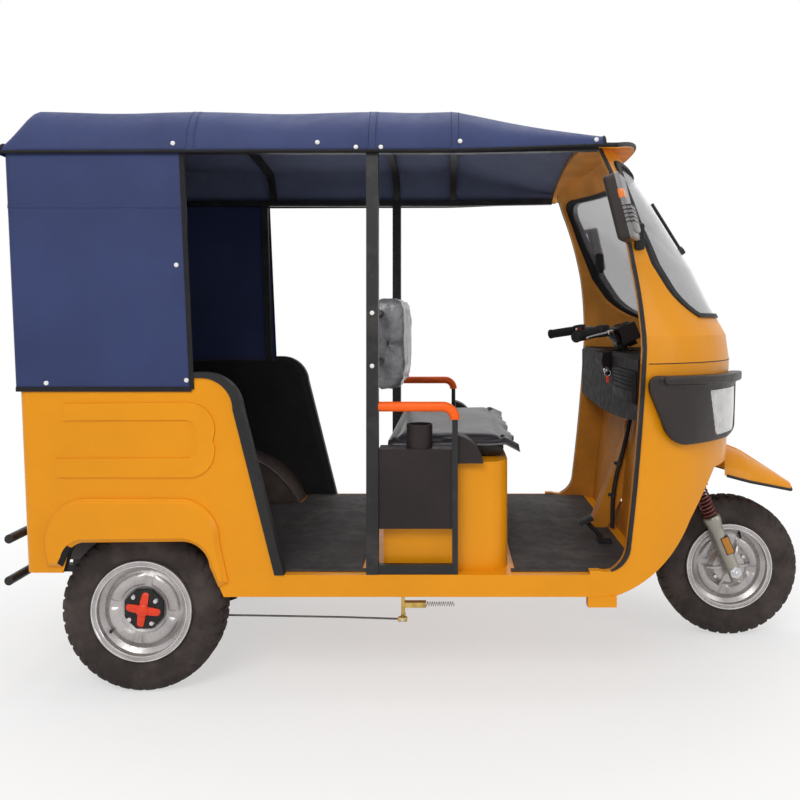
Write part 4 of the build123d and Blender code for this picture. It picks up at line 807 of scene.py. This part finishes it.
bm = bmesh.new()
rows = []
for cy, cz, start in ((0.28, 1.54, 0.0), (-0.28, 1.54, 0.5), (-0.28, 1.3, 1.0), (0.28, 1.3, 1.5)):
    for k in range(9):
        a = (start + 0.5 * k / 8) * pi
        row = []
        for reach, proud in ((0.022, -0.001), (0.022, 0.0032), (0.052, 0.0032), (0.052, -0.001)):
            y, z = cy + cos(a) * reach, cz + sin(a) * reach
            row.append(Vector((curtain_rear_x(z) - proud - 0.0012, y, z)))
        rows.append(row)
add_grid(bm, rows, close_rows=True)
add_strip(bm, [rear_point(y, CURTAIN_LOW_Z + 0.002) for y in ys], [BACK] * len(ys), UP, 0.001)
for y in (-0.487, 0.487):
    add_strip(bm, [rear_point(y, z) for z in zs], [BACK] * len(zs), Vector((0.0, 1.0, 0.0)), 0.001, 0.01)
frame_binding = make_piece(bm, "rear_curtain_binding", ["binding"], "chassis", sharp=60.0)


# Padded pieces: remeshed, blown up a little as cloth, then smoothed
def voxel_remesh(obj, voxel):
    remesh = obj.modifiers.new("remesh", "REMESH")
    remesh.mode = "VOXEL"
    remesh.voxel_size = voxel
    return remesh


def evaluated(obj):
    return obj.evaluated_get(bpy.context.evaluated_depsgraph_get())


def blown_up(name, mesh):
    trial = bpy.data.objects.new(name, mesh.copy())
    SCENE.collection.objects.link(trial)
    cloth = trial.modifiers.new("cloth", "CLOTH")
    cloth.settings.quality = 4
    cloth.settings.use_pressure = True
    cloth.settings.uniform_pressure_force = 4.0
    cloth.settings.effector_weights.gravity = 0.0
    cloth.point_cache.frame_end = 20
    for number in range(1, 21):
        SCENE.frame_set(number)
    moved = [v.co.copy() for v in evaluated(trial).data.vertices]
    bpy.data.objects.remove(trial)
    SCENE.frame_set(1)
    return moved


def padded_piece(name, low, high, bevel, cap, voxel, flat_side, node):
    bm = bmesh.new()
    add_block(bm, low, high, bevel=bevel, segments=4)
    start = mesh_object(bm, name + "_start", [])
    voxel_remesh(start, voxel)
    mesh = bpy.data.meshes.new_from_object(evaluated(start))
    rest = [v.co.copy() for v in mesh.vertices]
    moved = blown_up(name + "_trial", mesh)
    bpy.data.objects.remove(start)
    axis, limit = flat_side
    for vertex, old, new in zip(mesh.vertices, rest, moved):
        step = new - old
        if step.length > cap:
            step *= cap / step.length
        place = old + step
        place[axis] = max(place[axis], limit)
        vertex.co = place
    mesh.materials.clear()
    obj = link_mesh(mesh, name, ["seat_cloth"])
    smooth = obj.modifiers.new("smooth", "SUBSURF")
    smooth.levels = 1
    smooth.render_levels = 1
    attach(obj, "chassis")
    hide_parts(node)
    return obj


cushion = padded_piece("seat_cushion_pad", (-0.136, -0.449, SEAT_TOP_Z + 0.001),
                       (0.256, 0.449, SEAT_TOP_Z + 0.058), 0.024, 0.012, 0.008,
                       (2, SEAT_TOP_Z + 0.0005), "driver_cushion")
cushion_tree = BVHTree.FromPolygons([v.co for v in cushion.data.vertices],
                                    [list(p.vertices) for p in cushion.data.polygons])
PAD_BACK_X = -0.128
PAD_FRONT_X = 0.246
PAD_HALF_W = 0.44


def cover_point(u, v):
    # u across the seat from -1 to 1, v from the back edge to the front lip
    y = u * 0.468
    x = -0.142 + v * 0.432
    over = Vector((min(max(x, PAD_BACK_X), PAD_FRONT_X + 0.002), min(max(y, -PAD_HALF_W), PAD_HALF_W), 1.2))
    hit = cushion_tree.ray_cast(over, -UP)
    top = hit[0].z if hit[0] is not None else SEAT_TOP_Z + 0.06
    over_front = max(0.0, x - PAD_FRONT_X)
    drop = over_front * 0.62 + max(0.0, abs(y) - PAD_HALF_W) * 0.75 + max(0.0, PAD_BACK_X - x) * 0.9
    corner = max(0.0, abs(u) - 0.72) / 0.28 * max(0.0, v - 0.78) / 0.22
    wave = sin(y * 46.0 + 1.3) * 0.35 + sin(y * 21.0) * 0.65
    fold = noise.noise(Vector((x * 7.0, y * 4.0, 2.0))) * 0.004
    z = top + 0.0042 + max(-0.002, fold) - drop + over_front * 0.16 * wave + corner * 0.01
    return Vector((x + corner * 0.006 + over_front * 0.1 * wave, y + copysign(corner * 0.026, y), z))


cover_rows = [[cover_point(-1.0 + 2.0 * j / 90, i / 48) for j in range(91)] for i in range(49)]
cover = cloth_piece("seat_cover", cover_rows, 0.0014, ["seat_cover"], flip=True, offset=-1.0)
padded_piece("backrest_pad", (-0.199, -0.252, 0.993), (-0.116, 0.252, 1.284), 0.032, 0.012, 0.007,
             (0, -0.23), "driver_backrest")


def wrap_point(a, y, gather):
    # a round the pad's section, y along it, gather drawing the ends together
    c, s = cos(a), sin(a)
    bx = copysign(abs(c) ** 0.42, c) * 0.051
    bz = copysign(abs(s) ** 0.42, s) * 0.158
    slack = noise.noise(Vector((c * 1.7, y * 9.0, 4.0 + s)))
    pucker = abs(noise.noise(Vector((c * 4.0, y * 19.0, 9.0 + 3.0 * s))))
    grow = max(0.003, 0.004 + 0.008 * slack + 0.009 * pucker)
    pleat = 0.003 * noise.noise(Vector((c * 5.0, s * 5.0, 3.0 + gather)))
    return Vector((-0.1575 + (bx + c * grow) * gather, y + copysign(pleat, y) * (1.0 - gather) * 2.0,
                   1.1385 + (bz + s * grow * 0.8) * gather))


WRAP_ENDS = [(0.29, 0.04), (0.289, 0.25), (0.287, 0.45), (0.284, 0.62), (0.28, 0.78), (0.275, 0.9),
             (0.268, 0.97)]
along = [(-y, gather) for y, gather in WRAP_ENDS] + [(-0.26 + 0.52 * j / 56, 1.0) for j in range(57)]
along = along + WRAP_ENDS[::-1]
wrap_rows = [[wrap_point(2 * pi * k / 96, y, gather) for y, gather in along] for k in range(97)]
wrap = cloth_piece("backrest_wrap", wrap_rows, 0.0004, ["seat_film"])


# Fork springs as coils between two seats
def steer_point(x, y, z):
    c, s = cos(RAKE), sin(RAKE)
    return Vector((STEER_X + x * c - z * s, y, AXLE_Z + x * s + z * c))


STEER_UP = steer_point(0, 0, 1) - steer_point(0, 0, 0)
COIL_R = 0.0235
COIL_TURNS = 8.5
COIL_STEPS = 150
SPRING_SEAT = [(0.016, 0.0), (0.0285, 0.0), (0.0285, 0.0042), (0.016, 0.0042)]
bm = bmesh.new()
for side in SIDES:
    coil = []
    for k in range(COIL_STEPS + 1):
        f = k / COIL_STEPS
        a = 2 * pi * COIL_TURNS * f
        coil.append(steer_point(FORK_OFFSET + COIL_R * cos(a), side * FORK_HALF_W + COIL_R * sin(a),
                                0.2105 + 0.118 * f))
    add_tube(bm, coil, 0.0042, 0, sides=8)
    for z in (0.2055, 0.33):
        add_revolve(bm, SPRING_SEAT, steer_point(FORK_OFFSET, side * FORK_HALF_W, z), STEER_UP, 1, 28)
springs = make_piece(bm, "fork_coils", ["spring_red", "steel"], "steering")
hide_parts("fork_springs")

# Reflectors, seal collars and axle nuts on the fork
COLLAR = [(0.0255, -0.03), (0.03, -0.012), (0.033, 0.002), (0.0335, 0.018), (0.03, 0.024),
          (0.0255, 0.025)]
AXLE_NUT = [(0.0001, 0.02), (0.0085, 0.0195), (0.009, 0.017), (0.009, 0.012), (0.0165, 0.0115),
            (0.017, 0.001), (0.023, 0.0008), (0.023, -0.002)]
bm = bmesh.new()
for side in SIDES:
    spot = steer_point(FORK_OFFSET + 0.01, side * (FORK_HALF_W + 0.02), 0.09)
    for half, number, edge in (((0.0165, 0.006, 0.035), 1, 0.002), ((0.014, 0.008, 0.0325), 0, 0.003)):
        block_round(bm, spot, half, number, edge, Matrix.Rotation(-RAKE, 4, "Y"))
    add_revolve(bm, COLLAR, steer_point(FORK_OFFSET, side * FORK_HALF_W, 0.186), STEER_UP, 3, 28)
    add_revolve(bm, AXLE_NUT, (FRONT_AXLE_X, side * 0.1205, AXLE_Z), (0.0, side, 0.0), 2, 6)
make_piece(bm, "fork_fittings", ["reflector", "trim_rubber", "steel", "fork_silver"], "steering")

# Grips, levers and switches
GRIP = [(0.012, -0.003), (0.0195, -0.002), (0.0205, 0.004), (0.0175, 0.006)]
for k in range(18):
    a = 0.008 + k * 0.0062
    GRIP += [(0.0186, a), (0.0186, a + 0.0034), (0.0173, a + 0.0042), (0.0173, a + 0.0058)]
GRIP += [(0.0205, 0.121), (0.0215, 0.124), (0.0215, 0.128), (0.013, 0.129)]
BUTTON = [(0.0001, 0.005), (0.0045, 0.0045), (0.0055, 0.001), (0.0055, -0.003)]
bm = bmesh.new()
for side in SIDES:
    end = Vector((0.505, side * 0.33, 1.163))
    run = (Vector((0.632, side * 0.225, 1.186)) - end).normalized()
    add_revolve(bm, GRIP, end, run, 0, 26)
    box_mid = end + run * 0.15
    turn = run.to_track_quat("X", "Z").to_matrix().to_4x4()
    block_round(bm, box_mid, (0.018, 0.019, 0.021), 1, 0.005, turn)
    fore = Vector((-run.y, run.x, 0.0))
    fore = fore if fore.x > 0 else -fore
    pivot = box_mid + fore * 0.03 - UP * 0.004
    block_round(bm, pivot, (0.014, 0.01, 0.008), 2, 0.004, turn)
    lever = [pivot, pivot - run * 0.04 + fore * 0.006, pivot - run * 0.09 + fore * 0.004,
             pivot - run * 0.135 + fore * 0.01]
    add_tube(bm, lever, 0.0052, 2, taper=lambda f: 1.15 - 0.35 * f)
    for k, number in enumerate((3, 4)):
        spot = box_mid - fore * 0.0185 + run * (0.008 - 0.016 * k) + UP * 0.003
        add_revolve(bm, BUTTON, spot, -fore, number, 14)
make_piece(bm, "bar_controls", ["trim_rubber", "black_plastic", "steel", "lamp_red", "snap_white"],
           "steering")

# Dials on top of the instrument pod
DIAL_TOP = 0.925 + 0.078
DIALS = [(0.03, 0.0, 0.029), (0.024, 0.052, 0.0155), (0.024, -0.052, 0.0155)]
bm = bmesh.new()
for x, y, r in DIALS:
    spot = steer_point(x, y, DIAL_TOP)
    bezel = [(r * 0.86, -0.002), (r * 0.9, 0.004), (r, 0.0044), (r * 1.08, 0.002), (r * 1.1, -0.002)]
    add_revolve(bm, bezel, spot, STEER_UP, 0, 36)
    add_revolve(bm, [(0.0001, 0.0012), (r * 0.88, 0.0012), (r * 0.88, -0.002)], spot, STEER_UP, 1, 36)
    for k in range(9):
        a = radians(215 - 31 * k)
        mark = [steer_point(x + sin(a) * r * f, y + cos(a) * r * f, DIAL_TOP + 0.0016) for f in (0.66, 0.78)]
        add_tube(bm, mark, 0.0006, 2, sides=5)
    a = radians(140)
    needle = [steer_point(x + sin(a) * r * f, y + cos(a) * r * f, DIAL_TOP + 0.002) for f in (0.0, 0.6)]
    add_tube(bm, needle, 0.0009, 3, sides=6)
make_piece(bm, "instrument_dials", ["black_plastic", "dial", "snap_white", "hub_red"], "steering")

# Headlamp pods with softened edges
pods = bpy.data.objects.new("headlamp_pod_shells", NODES["headlamp_pods"].data.copy())
SCENE.collection.objects.link(pods)
voxel_remesh(pods, 0.004).use_smooth_shade = True
soften = pods.modifiers.new("soften", "SMOOTH")
soften.factor = 0.5
soften.iterations = 14
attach(pods, "chassis")
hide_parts("headlamp_pods")

# Armrests with a round bend down to their posts
ARM_POST_X = 0.081
ARM_FOOT_Z = 0.905
ARM_BEND_R = 0.04
ARM_Y = 0.558
ARM_R = 0.016
arm_start_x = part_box("armrests")[0][0]
bm = bmesh.new()
for side in SIDES:
    points = [Vector((arm_start_x, side * ARM_Y, ARM_FOOT_Z + ARM_BEND_R))]
    for k in range(17):
        a = radians(90.0 - 90.0 * k / 16)
        points.append(Vector((ARM_POST_X - ARM_BEND_R + ARM_BEND_R * cos(a), side * ARM_Y,
                              ARM_FOOT_Z + ARM_BEND_R * sin(a))))
    add_tube(bm, points, ARM_R, 0, sides=24)
sleeves = make_piece(bm, "armrest_sleeves", ["arm_orange"], "chassis")
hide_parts("armrests")

# Mudguard edge strip and pressed ridge
GUARD_EDGE = [(1.104, 0.1458, 0.6395), (1.15, 0.1373, 0.6262), (1.2, 0.128, 0.6125),
              (1.26, 0.1012, 0.5972), (1.33, 0.0696, 0.5793), (1.388, 0.0436, 0.5645)]
GUARD_NOSE = [(1.391, -0.041, 0.564), (1.3935, -0.022, 0.576), (1.394, 0.0, 0.5835), (1.3935, 0.022, 0.576),
              (1.391, 0.041, 0.564)]
GUARD_STRIP_R = 0.0055
bm = bmesh.new()
for side in SIDES:
    add_tube(bm, [(x, side * y, z) for x, y, z in GUARD_EDGE], GUARD_STRIP_R)
add_tube(bm, GUARD_NOSE, GUARD_STRIP_R)
ridge = [Vector((1.135 + 0.25 * k / 14, 0.0, 0.0)) for k in range(15)]
for point in ridge:
    point.z = 0.79 - (point.x - 1.0) * 0.39 if point.x < 1.2 else 0.712 - (point.x - 1.2) * 0.6224
    point.z -= 0.003
add_tube(bm, ridge, 0.0075, 1, sides=12, taper=lambda f: 0.4 + 0.6 * sin(pi * min(1.0, f * 0.5 + 0.5)))
make_piece(bm, "mudguard_trim", ["trim_rubber", "body_yellow"], "chassis")

# Mirror backs with a side lamp and ribs, and their brackets on the pillars
MIRROR_ROWS = [
    {"side": -1.0, "x": 0.585, "bracket": (0.691, -0.472, 1.498)},
    {"side": 1.0, "x": 0.748, "bracket": (0.737, 0.42, 1.48)},
]
bm = bmesh.new()
for row in MIRROR_ROWS:
    side = row["side"]
    place = Matrix.Translation((row["x"], side * 0.682, 1.562))
    place = place @ Matrix.Rotation(radians(25.0 * side), 4, "Z") @ Matrix.Rotation(radians(-14.0), 4, "Y")
    first = set(bm.verts)
    add_block(bm, (0.0125, -0.0512, -0.1036), (0.0264, 0.0512, 0.1036), 0, 0.012, segments=4)
    add_block(bm, (0.014, -0.04, -0.086), (0.036, 0.04, 0.004), 0, 0.01, segments=3)
    lamp_ys = sorted((side * 0.01, side * 0.0522))
    add_block(bm, (0.011, lamp_ys[0], 0.0205), (0.0276, lamp_ys[1], 0.049), 1, 0.003)
    for k in range(5):
        z = -0.004 - 0.0125 * k
        for back, front, half in ((0.01, 0.0285, 0.052), (0.016, 0.0374, 0.0408)):
            add_block(bm, (back, -half, z - 0.002), (front, half, z + 0.002), 2, 0.0012)
    bmesh.ops.transform(bm, matrix=place, verts=[v for v in bm.verts if v not in first])
    foot = Vector(row["bracket"])
    block_round(bm, foot, (0.016, 0.02, 0.044), 3, 0.006)
    knuckle = Vector((row["x"] + 0.034, side * 0.64, 1.478))
    add_tube(bm, [foot, foot.lerp(knuckle, 0.5), knuckle], 0.011, 3, sides=14)
make_piece(bm, "mirror_backs", ["mirror_grey", "lamp_amber", "pod_grey", "trim_rubber"], "chassis")

# Rubber lip round the brow and the fine joint between the two cab shells
BROW_HALF_W = 0.56
BROW_RISE = 0.077
BROW_R = (BROW_HALF_W ** 2 + BROW_RISE ** 2) / (2 * BROW_RISE)
CAB_JOINT_Z = 1.08
CAB_TURN = 36.87


def lip_point(x, y):
    return Vector((x, y, 1.866 - BROW_R + sqrt(BROW_R * BROW_R - y * y) - 0.0055))


bm = bmesh.new()
lip = [(0.548, -BROW_HALF_W), (0.575, -BROW_HALF_W)]
lip = lip + arc_points((0.6, -BROW_HALF_W), (0.76, 0.0), (0.6, BROW_HALF_W), 41)
lip = lip + [(0.575, BROW_HALF_W), (0.548, BROW_HALF_W)]
add_tube(bm, [lip_point(x, y) for x, y in lip], 0.0075, 0, sides=12)
joint = []
for k in range(19):
    a = radians(72.0 - (72.0 - CAB_TURN) * k / 18)
    joint.append((0.506 + 0.65 * cos(a), 0.65 * sin(a) - 0.078))
for k in range(1, 12):
    a = radians(CAB_TURN - CAB_TURN * k / 11)
    joint.append((0.61 + 0.52 * cos(a), 0.52 * sin(a)))
joint = joint + [(x, -y) for x, y in reversed(joint[:-1])]
add_tube(bm, [Vector((x, y, CAB_JOINT_Z)) for x, y in joint], 0.0016, 0, sides=8)
make_piece(bm, "cab_edging", ["trim_rubber"], "chassis")


# Conduit clipped to the strut, a ribbed tray on the dash face and the key
def smooth_path(points, steps):
    ends = [points[0]] + points + [points[-1]]
    out = []
    for i in range(len(points) - 1):
        a, b, c, d = (Vector(p) for p in ends[i:i + 4])
        for k in range(steps):
            t = k / steps
            out.append(0.5 * (2 * b + (c - a) * t + (2 * a - 5 * b + 4 * c - d) * t * t
                              + (3 * b - a - 3 * c + d) * t * t * t))
    return out + [Vector(points[-1])]


CONDUIT = [(0.695, -0.044, 0.418), (0.6955, -0.044, 0.48), (0.699, -0.044, 0.545), (0.708, -0.044, 0.605),
           (0.723, -0.044, 0.668), (0.737, -0.054, 0.73), (0.744, -0.082, 0.79), (0.748, -0.115, 0.855)]
CLIP = [(0.0083, -0.007), (0.0098, -0.006), (0.0098, 0.006), (0.0083, 0.007)]
KEY_BARREL = [(0.0125, -0.002), (0.0125, 0.004), (0.01, 0.006), (0.0001, 0.006)]
bm = bmesh.new()
add_tube(bm, smooth_path(CONDUIT, 6), 0.0082, 0, sides=14)
for x, z, lean in ((0.699, 0.545, 0.1), (0.723, 0.668, 0.23)):
    spot = Vector((x, -0.044, z))
    add_revolve(bm, CLIP, spot, (lean, 0.0, 1.0), 1, 18)
    add_block(bm, spot + Vector((-0.02, 0.004, -0.006)), spot + Vector((0.004, 0.0088, 0.006)), 1, 0.0015)
add_block(bm, (0.664, -0.5, 0.95), (0.677, -0.19, 0.986), 2, 0.006, segments=3)
add_block(bm, (0.669, -0.506, 0.944), (0.6765, -0.184, 1.054), 2, 0.004)
for k in range(4):
    z = 0.9985 + 0.0135 * k
    add_block(bm, (0.664, -0.498, z - 0.003), (0.672, -0.192, z + 0.003), 2, 0.0025)
key = Vector((0.664, -0.088, 1.033))
add_revolve(bm, KEY_BARREL, key, (0.0, -1.0, 0.0), 3, 24)
add_block(bm, key + Vector((-0.006, -0.02, -0.0016)), key + Vector((0.006, -0.005, 0.0016)), 3, 0.001)
turns = [2 * pi * k / 20 for k in range(21)]
key_ring = [key + Vector((0.011 * sin(a), -0.017, 0.011 * cos(a) - 0.011)) for a in turns]
add_tube(bm, key_ring, 0.0011, 3, sides=6)
add_block(bm, key + Vector((-0.005, -0.0182, -0.048)), key + Vector((0.005, -0.016, -0.021)), 4, 0.001)
make_piece(bm, "cab_fittings", ["trim_rubber", "black_paint", "dash_plastic", "steel", "hub_red"], "chassis")

# Rolled rims on the wheel housings, in the housing black lightened as painted light
HOUSING_R = 0.366
bm = bmesh.new()
for side in SIDES:
    arc = [spoke(radians(24.0 + 132.0 * k / 48), HOUSING_R) for k in range(49)]
    arc = [Vector((REAR_AXLE_X + p.x, side * 0.3795, AXLE_Z + p.z)) for p in arc]
    add_tube(bm, [p for p in arc if -1.245 < p.x < -0.62], 0.0062)
make_piece(bm, "housing_rims", ["lit_housing_black"], "chassis")

# Floor covering beside and behind the mats
COVERING_TOP_Z = FLOOR_Z + 0.005
bm = bmesh.new()
for low_x, high_x in ((-0.59, -0.205), (0.262, 0.56)):
    for low_y, high_y in ((-0.545, -0.5205), (0.5205, 0.545)):
        add_block(bm, (low_x, low_y, FLOOR_Z), (high_x, high_y, COVERING_TOP_Z), 0, 0.0015)
add_block(bm, (-1.25, -0.376, FLOOR_Z), (-0.5905, 0.376, COVERING_TOP_Z), 0, 0.0015)
make_piece(bm, "floor_covering", ["mat_rubber"], "chassis")

# Pedal pad ribs
bm = bmesh.new()
place = Matrix.Translation((0.556, -0.24, 0.497)) @ Matrix.Rotation(radians(-25.0), 4, "Y")
for k in range(6):
    x = -0.0215 + 0.0086 * k
    add_block(bm, (x - 0.0024, -0.021, 0.0045), (x + 0.0024, 0.021, 0.0092), 0, 0.0012)
add_block(bm, (-0.0265, -0.0228, 0.004), (0.0265, 0.0228, 0.0068), 0, 0.0015)
bmesh.ops.transform(bm, matrix=place, verts=bm.verts[:])
make_piece(bm, "pedal_rubber", ["trim_rubber"], "chassis")

# Snap caps on the cloth and the pillars
SNAP = [(0.0001, 0.0046), (0.0045, 0.0042), (0.0068, 0.0026), (0.0074, 0.0004), (0.0074, -0.003)]
SNAPS = [(-0.813, 0.5862, 1.782), (-0.355, 0.5862, 1.785), (0.097, 0.5858, 1.789), (0.53, 0.5808, 1.795),
         (-0.804, 0.58, 1.397), (-0.772, 0.58, 1.031), (-1.217, 0.58, 1.022), (-0.183, 0.5745, 1.245),
         (-0.183, 0.5745, 1.076), (-0.233, 0.5863, 1.77), (-0.154, 0.5863, 1.77)]
bm = bmesh.new()
for side in SIDES:
    for x, y, z in SNAPS:
        add_revolve(bm, SNAP, (x, side * y, z), (0.0, side, 0.0), 0, 18)
make_piece(bm, "snap_caps", ["snap_white"], "chassis")

# Brake rod and return spring
ROD = [Vector((-0.098, -0.373, 0.192)), Vector((-0.3, -0.374, 0.199)), Vector((-0.6, -0.378, 0.206)),
       Vector((-0.898, -0.383, 0.212))]
PIN = [(0.0001, 0.013), (0.005, 0.012), (0.0055, 0.01), (0.0055, -0.01), (0.0001, -0.011)]
RETURN_R = 0.0075
bm = bmesh.new()
add_tube(bm, ROD, 0.0032, 2)
for end in (ROD[0], ROD[-1]):
    block_round(bm, end, (0.016, 0.008, 0.008), 0, 0.003)
    add_revolve(bm, PIN, end, (0.0, 1.0, 0.0), 1, 12)
add_block(bm, (-0.906, -0.392, 0.2), (-0.888, -0.386, 0.262), 0, 0.002)
coil = []
for k in range(121):
    a = 2 * pi * 14 * (k / 120)
    coil.append(Vector((-0.03 + 0.11 * k / 120, -0.35 + RETURN_R * cos(a), 0.2355 + RETURN_R * sin(a))))
add_tube(bm, coil, 0.0015, 1, sides=6)
make_piece(bm, "brake_rod", ["zinc_gold", "steel", "rod_grey"], "chassis")

# Tail lamps with three lenses on a dark base
LENSES = [(0.706, 0.754, 1), (0.757, 0.808, 2), (0.811, 0.854, 3)]
bm = bmesh.new()
for y0, y1 in ((-0.46, -0.38), (0.38, 0.46)):
    add_block(bm, (-1.3185, y0, 0.7), (-1.3015, y1, 0.86), 0, 0.006)
    for low, high, number in LENSES:
        add_block(bm, (-1.3345, y0 + 0.006, low), (-1.3165, y1 - 0.006, high), number, 0.008, segments=3)
lamps = make_piece(bm, "tail_lamp_lenses", ["black_plastic", "lamp_amber", "lamp_red", "lens_clear"],
                   "chassis")
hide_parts("tail_lamps")

# Stage, light and camera
STAGE_HALF = 30.0
STAGE_Z = -0.0015
bm = bmesh.new()
stage = [[(x * STAGE_HALF, y * STAGE_HALF, STAGE_Z) for x in SIDES] for y in SIDES]
add_grid(bm, stage, flip=True)
floor = mesh_object(bm, "floor", [])
material, tree, shader = principled("pale floor")
set_sockets(tree, shader, {"Base Color": (0.9, 0.9, 0.9, 1.0), "Roughness": 0.9, "Specular IOR Level": 0.1})
far = add_node(tree, "VectorMath", {0: object_coords(tree, (0.8, 1.0, 1.0))}, operation="LENGTH")
fade = remap(tree, far.outputs["Value"], 1.0, 2.4, 0.56, 1.0)
amount = add_node(tree, "Math", {0: fade, 1: seen_directly(tree)}, operation="MULTIPLY")
glow = add_node(tree, "Emission", {})
blend = add_node(tree, "MixShader", {0: amount.outputs[0], 1: shader.outputs[0], 2: glow.outputs[0]})
set_sockets(tree, tree.nodes["Material Output"], {"Surface": blend.outputs[0]})
floor.data.materials.append(material)
floor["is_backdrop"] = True

world = bpy.data.worlds.new("studio")
SCENE.world = world
world.use_nodes = True
tree = world.node_tree
strength = remap(tree, seen_directly(tree), 0.0, 1.0, 0.5, 1.0)
set_sockets(tree, tree.nodes["Background"], {"Color": (1.0, 1.0, 1.0, 1.0), "Strength": strength})


def area_lamp(name, place, target, size, power):
    data = bpy.data.lights.new(name, "AREA")
    data.shape = "RECTANGLE"
    data.size = size[0]
    data.size_y = size[1]
    data.energy = power
    lamp = bpy.data.objects.new(name, data)
    lamp.location = place
    lamp.rotation_euler = (Vector(target) - Vector(place)).to_track_quat("-Z", "Y").to_euler()
    SCENE.collection.objects.link(lamp)


area_lamp("key", (-1.2, -4.6, 4.2), (0.0, 0.0, 0.9), (3.0, 2.0), 125.0)
area_lamp("top", (0.0, 0.4, 5.0), (0.0, 0.0, 1.0), (4.0, 3.0), 100.0)
area_lamp("fill", (4.6, -2.6, 2.4), (0.3, 0.0, 0.9), (2.0, 2.0), 30.0)

data = bpy.data.cameras.new("camera")
data.lens = 34.155
data.sensor_width = 36.0
data.shift_x = -0.0625
data.shift_y = -0.0975
camera = bpy.data.objects.new("camera", data)
camera.location = (0.065, -2.99, 1.216)
camera.rotation_euler = (radians(90.0), 0.0, 0.0)
SCENE.collection.objects.link(camera)
SCENE.camera = camera
SCENE.view_settings.view_transform = "Standard"

low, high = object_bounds()
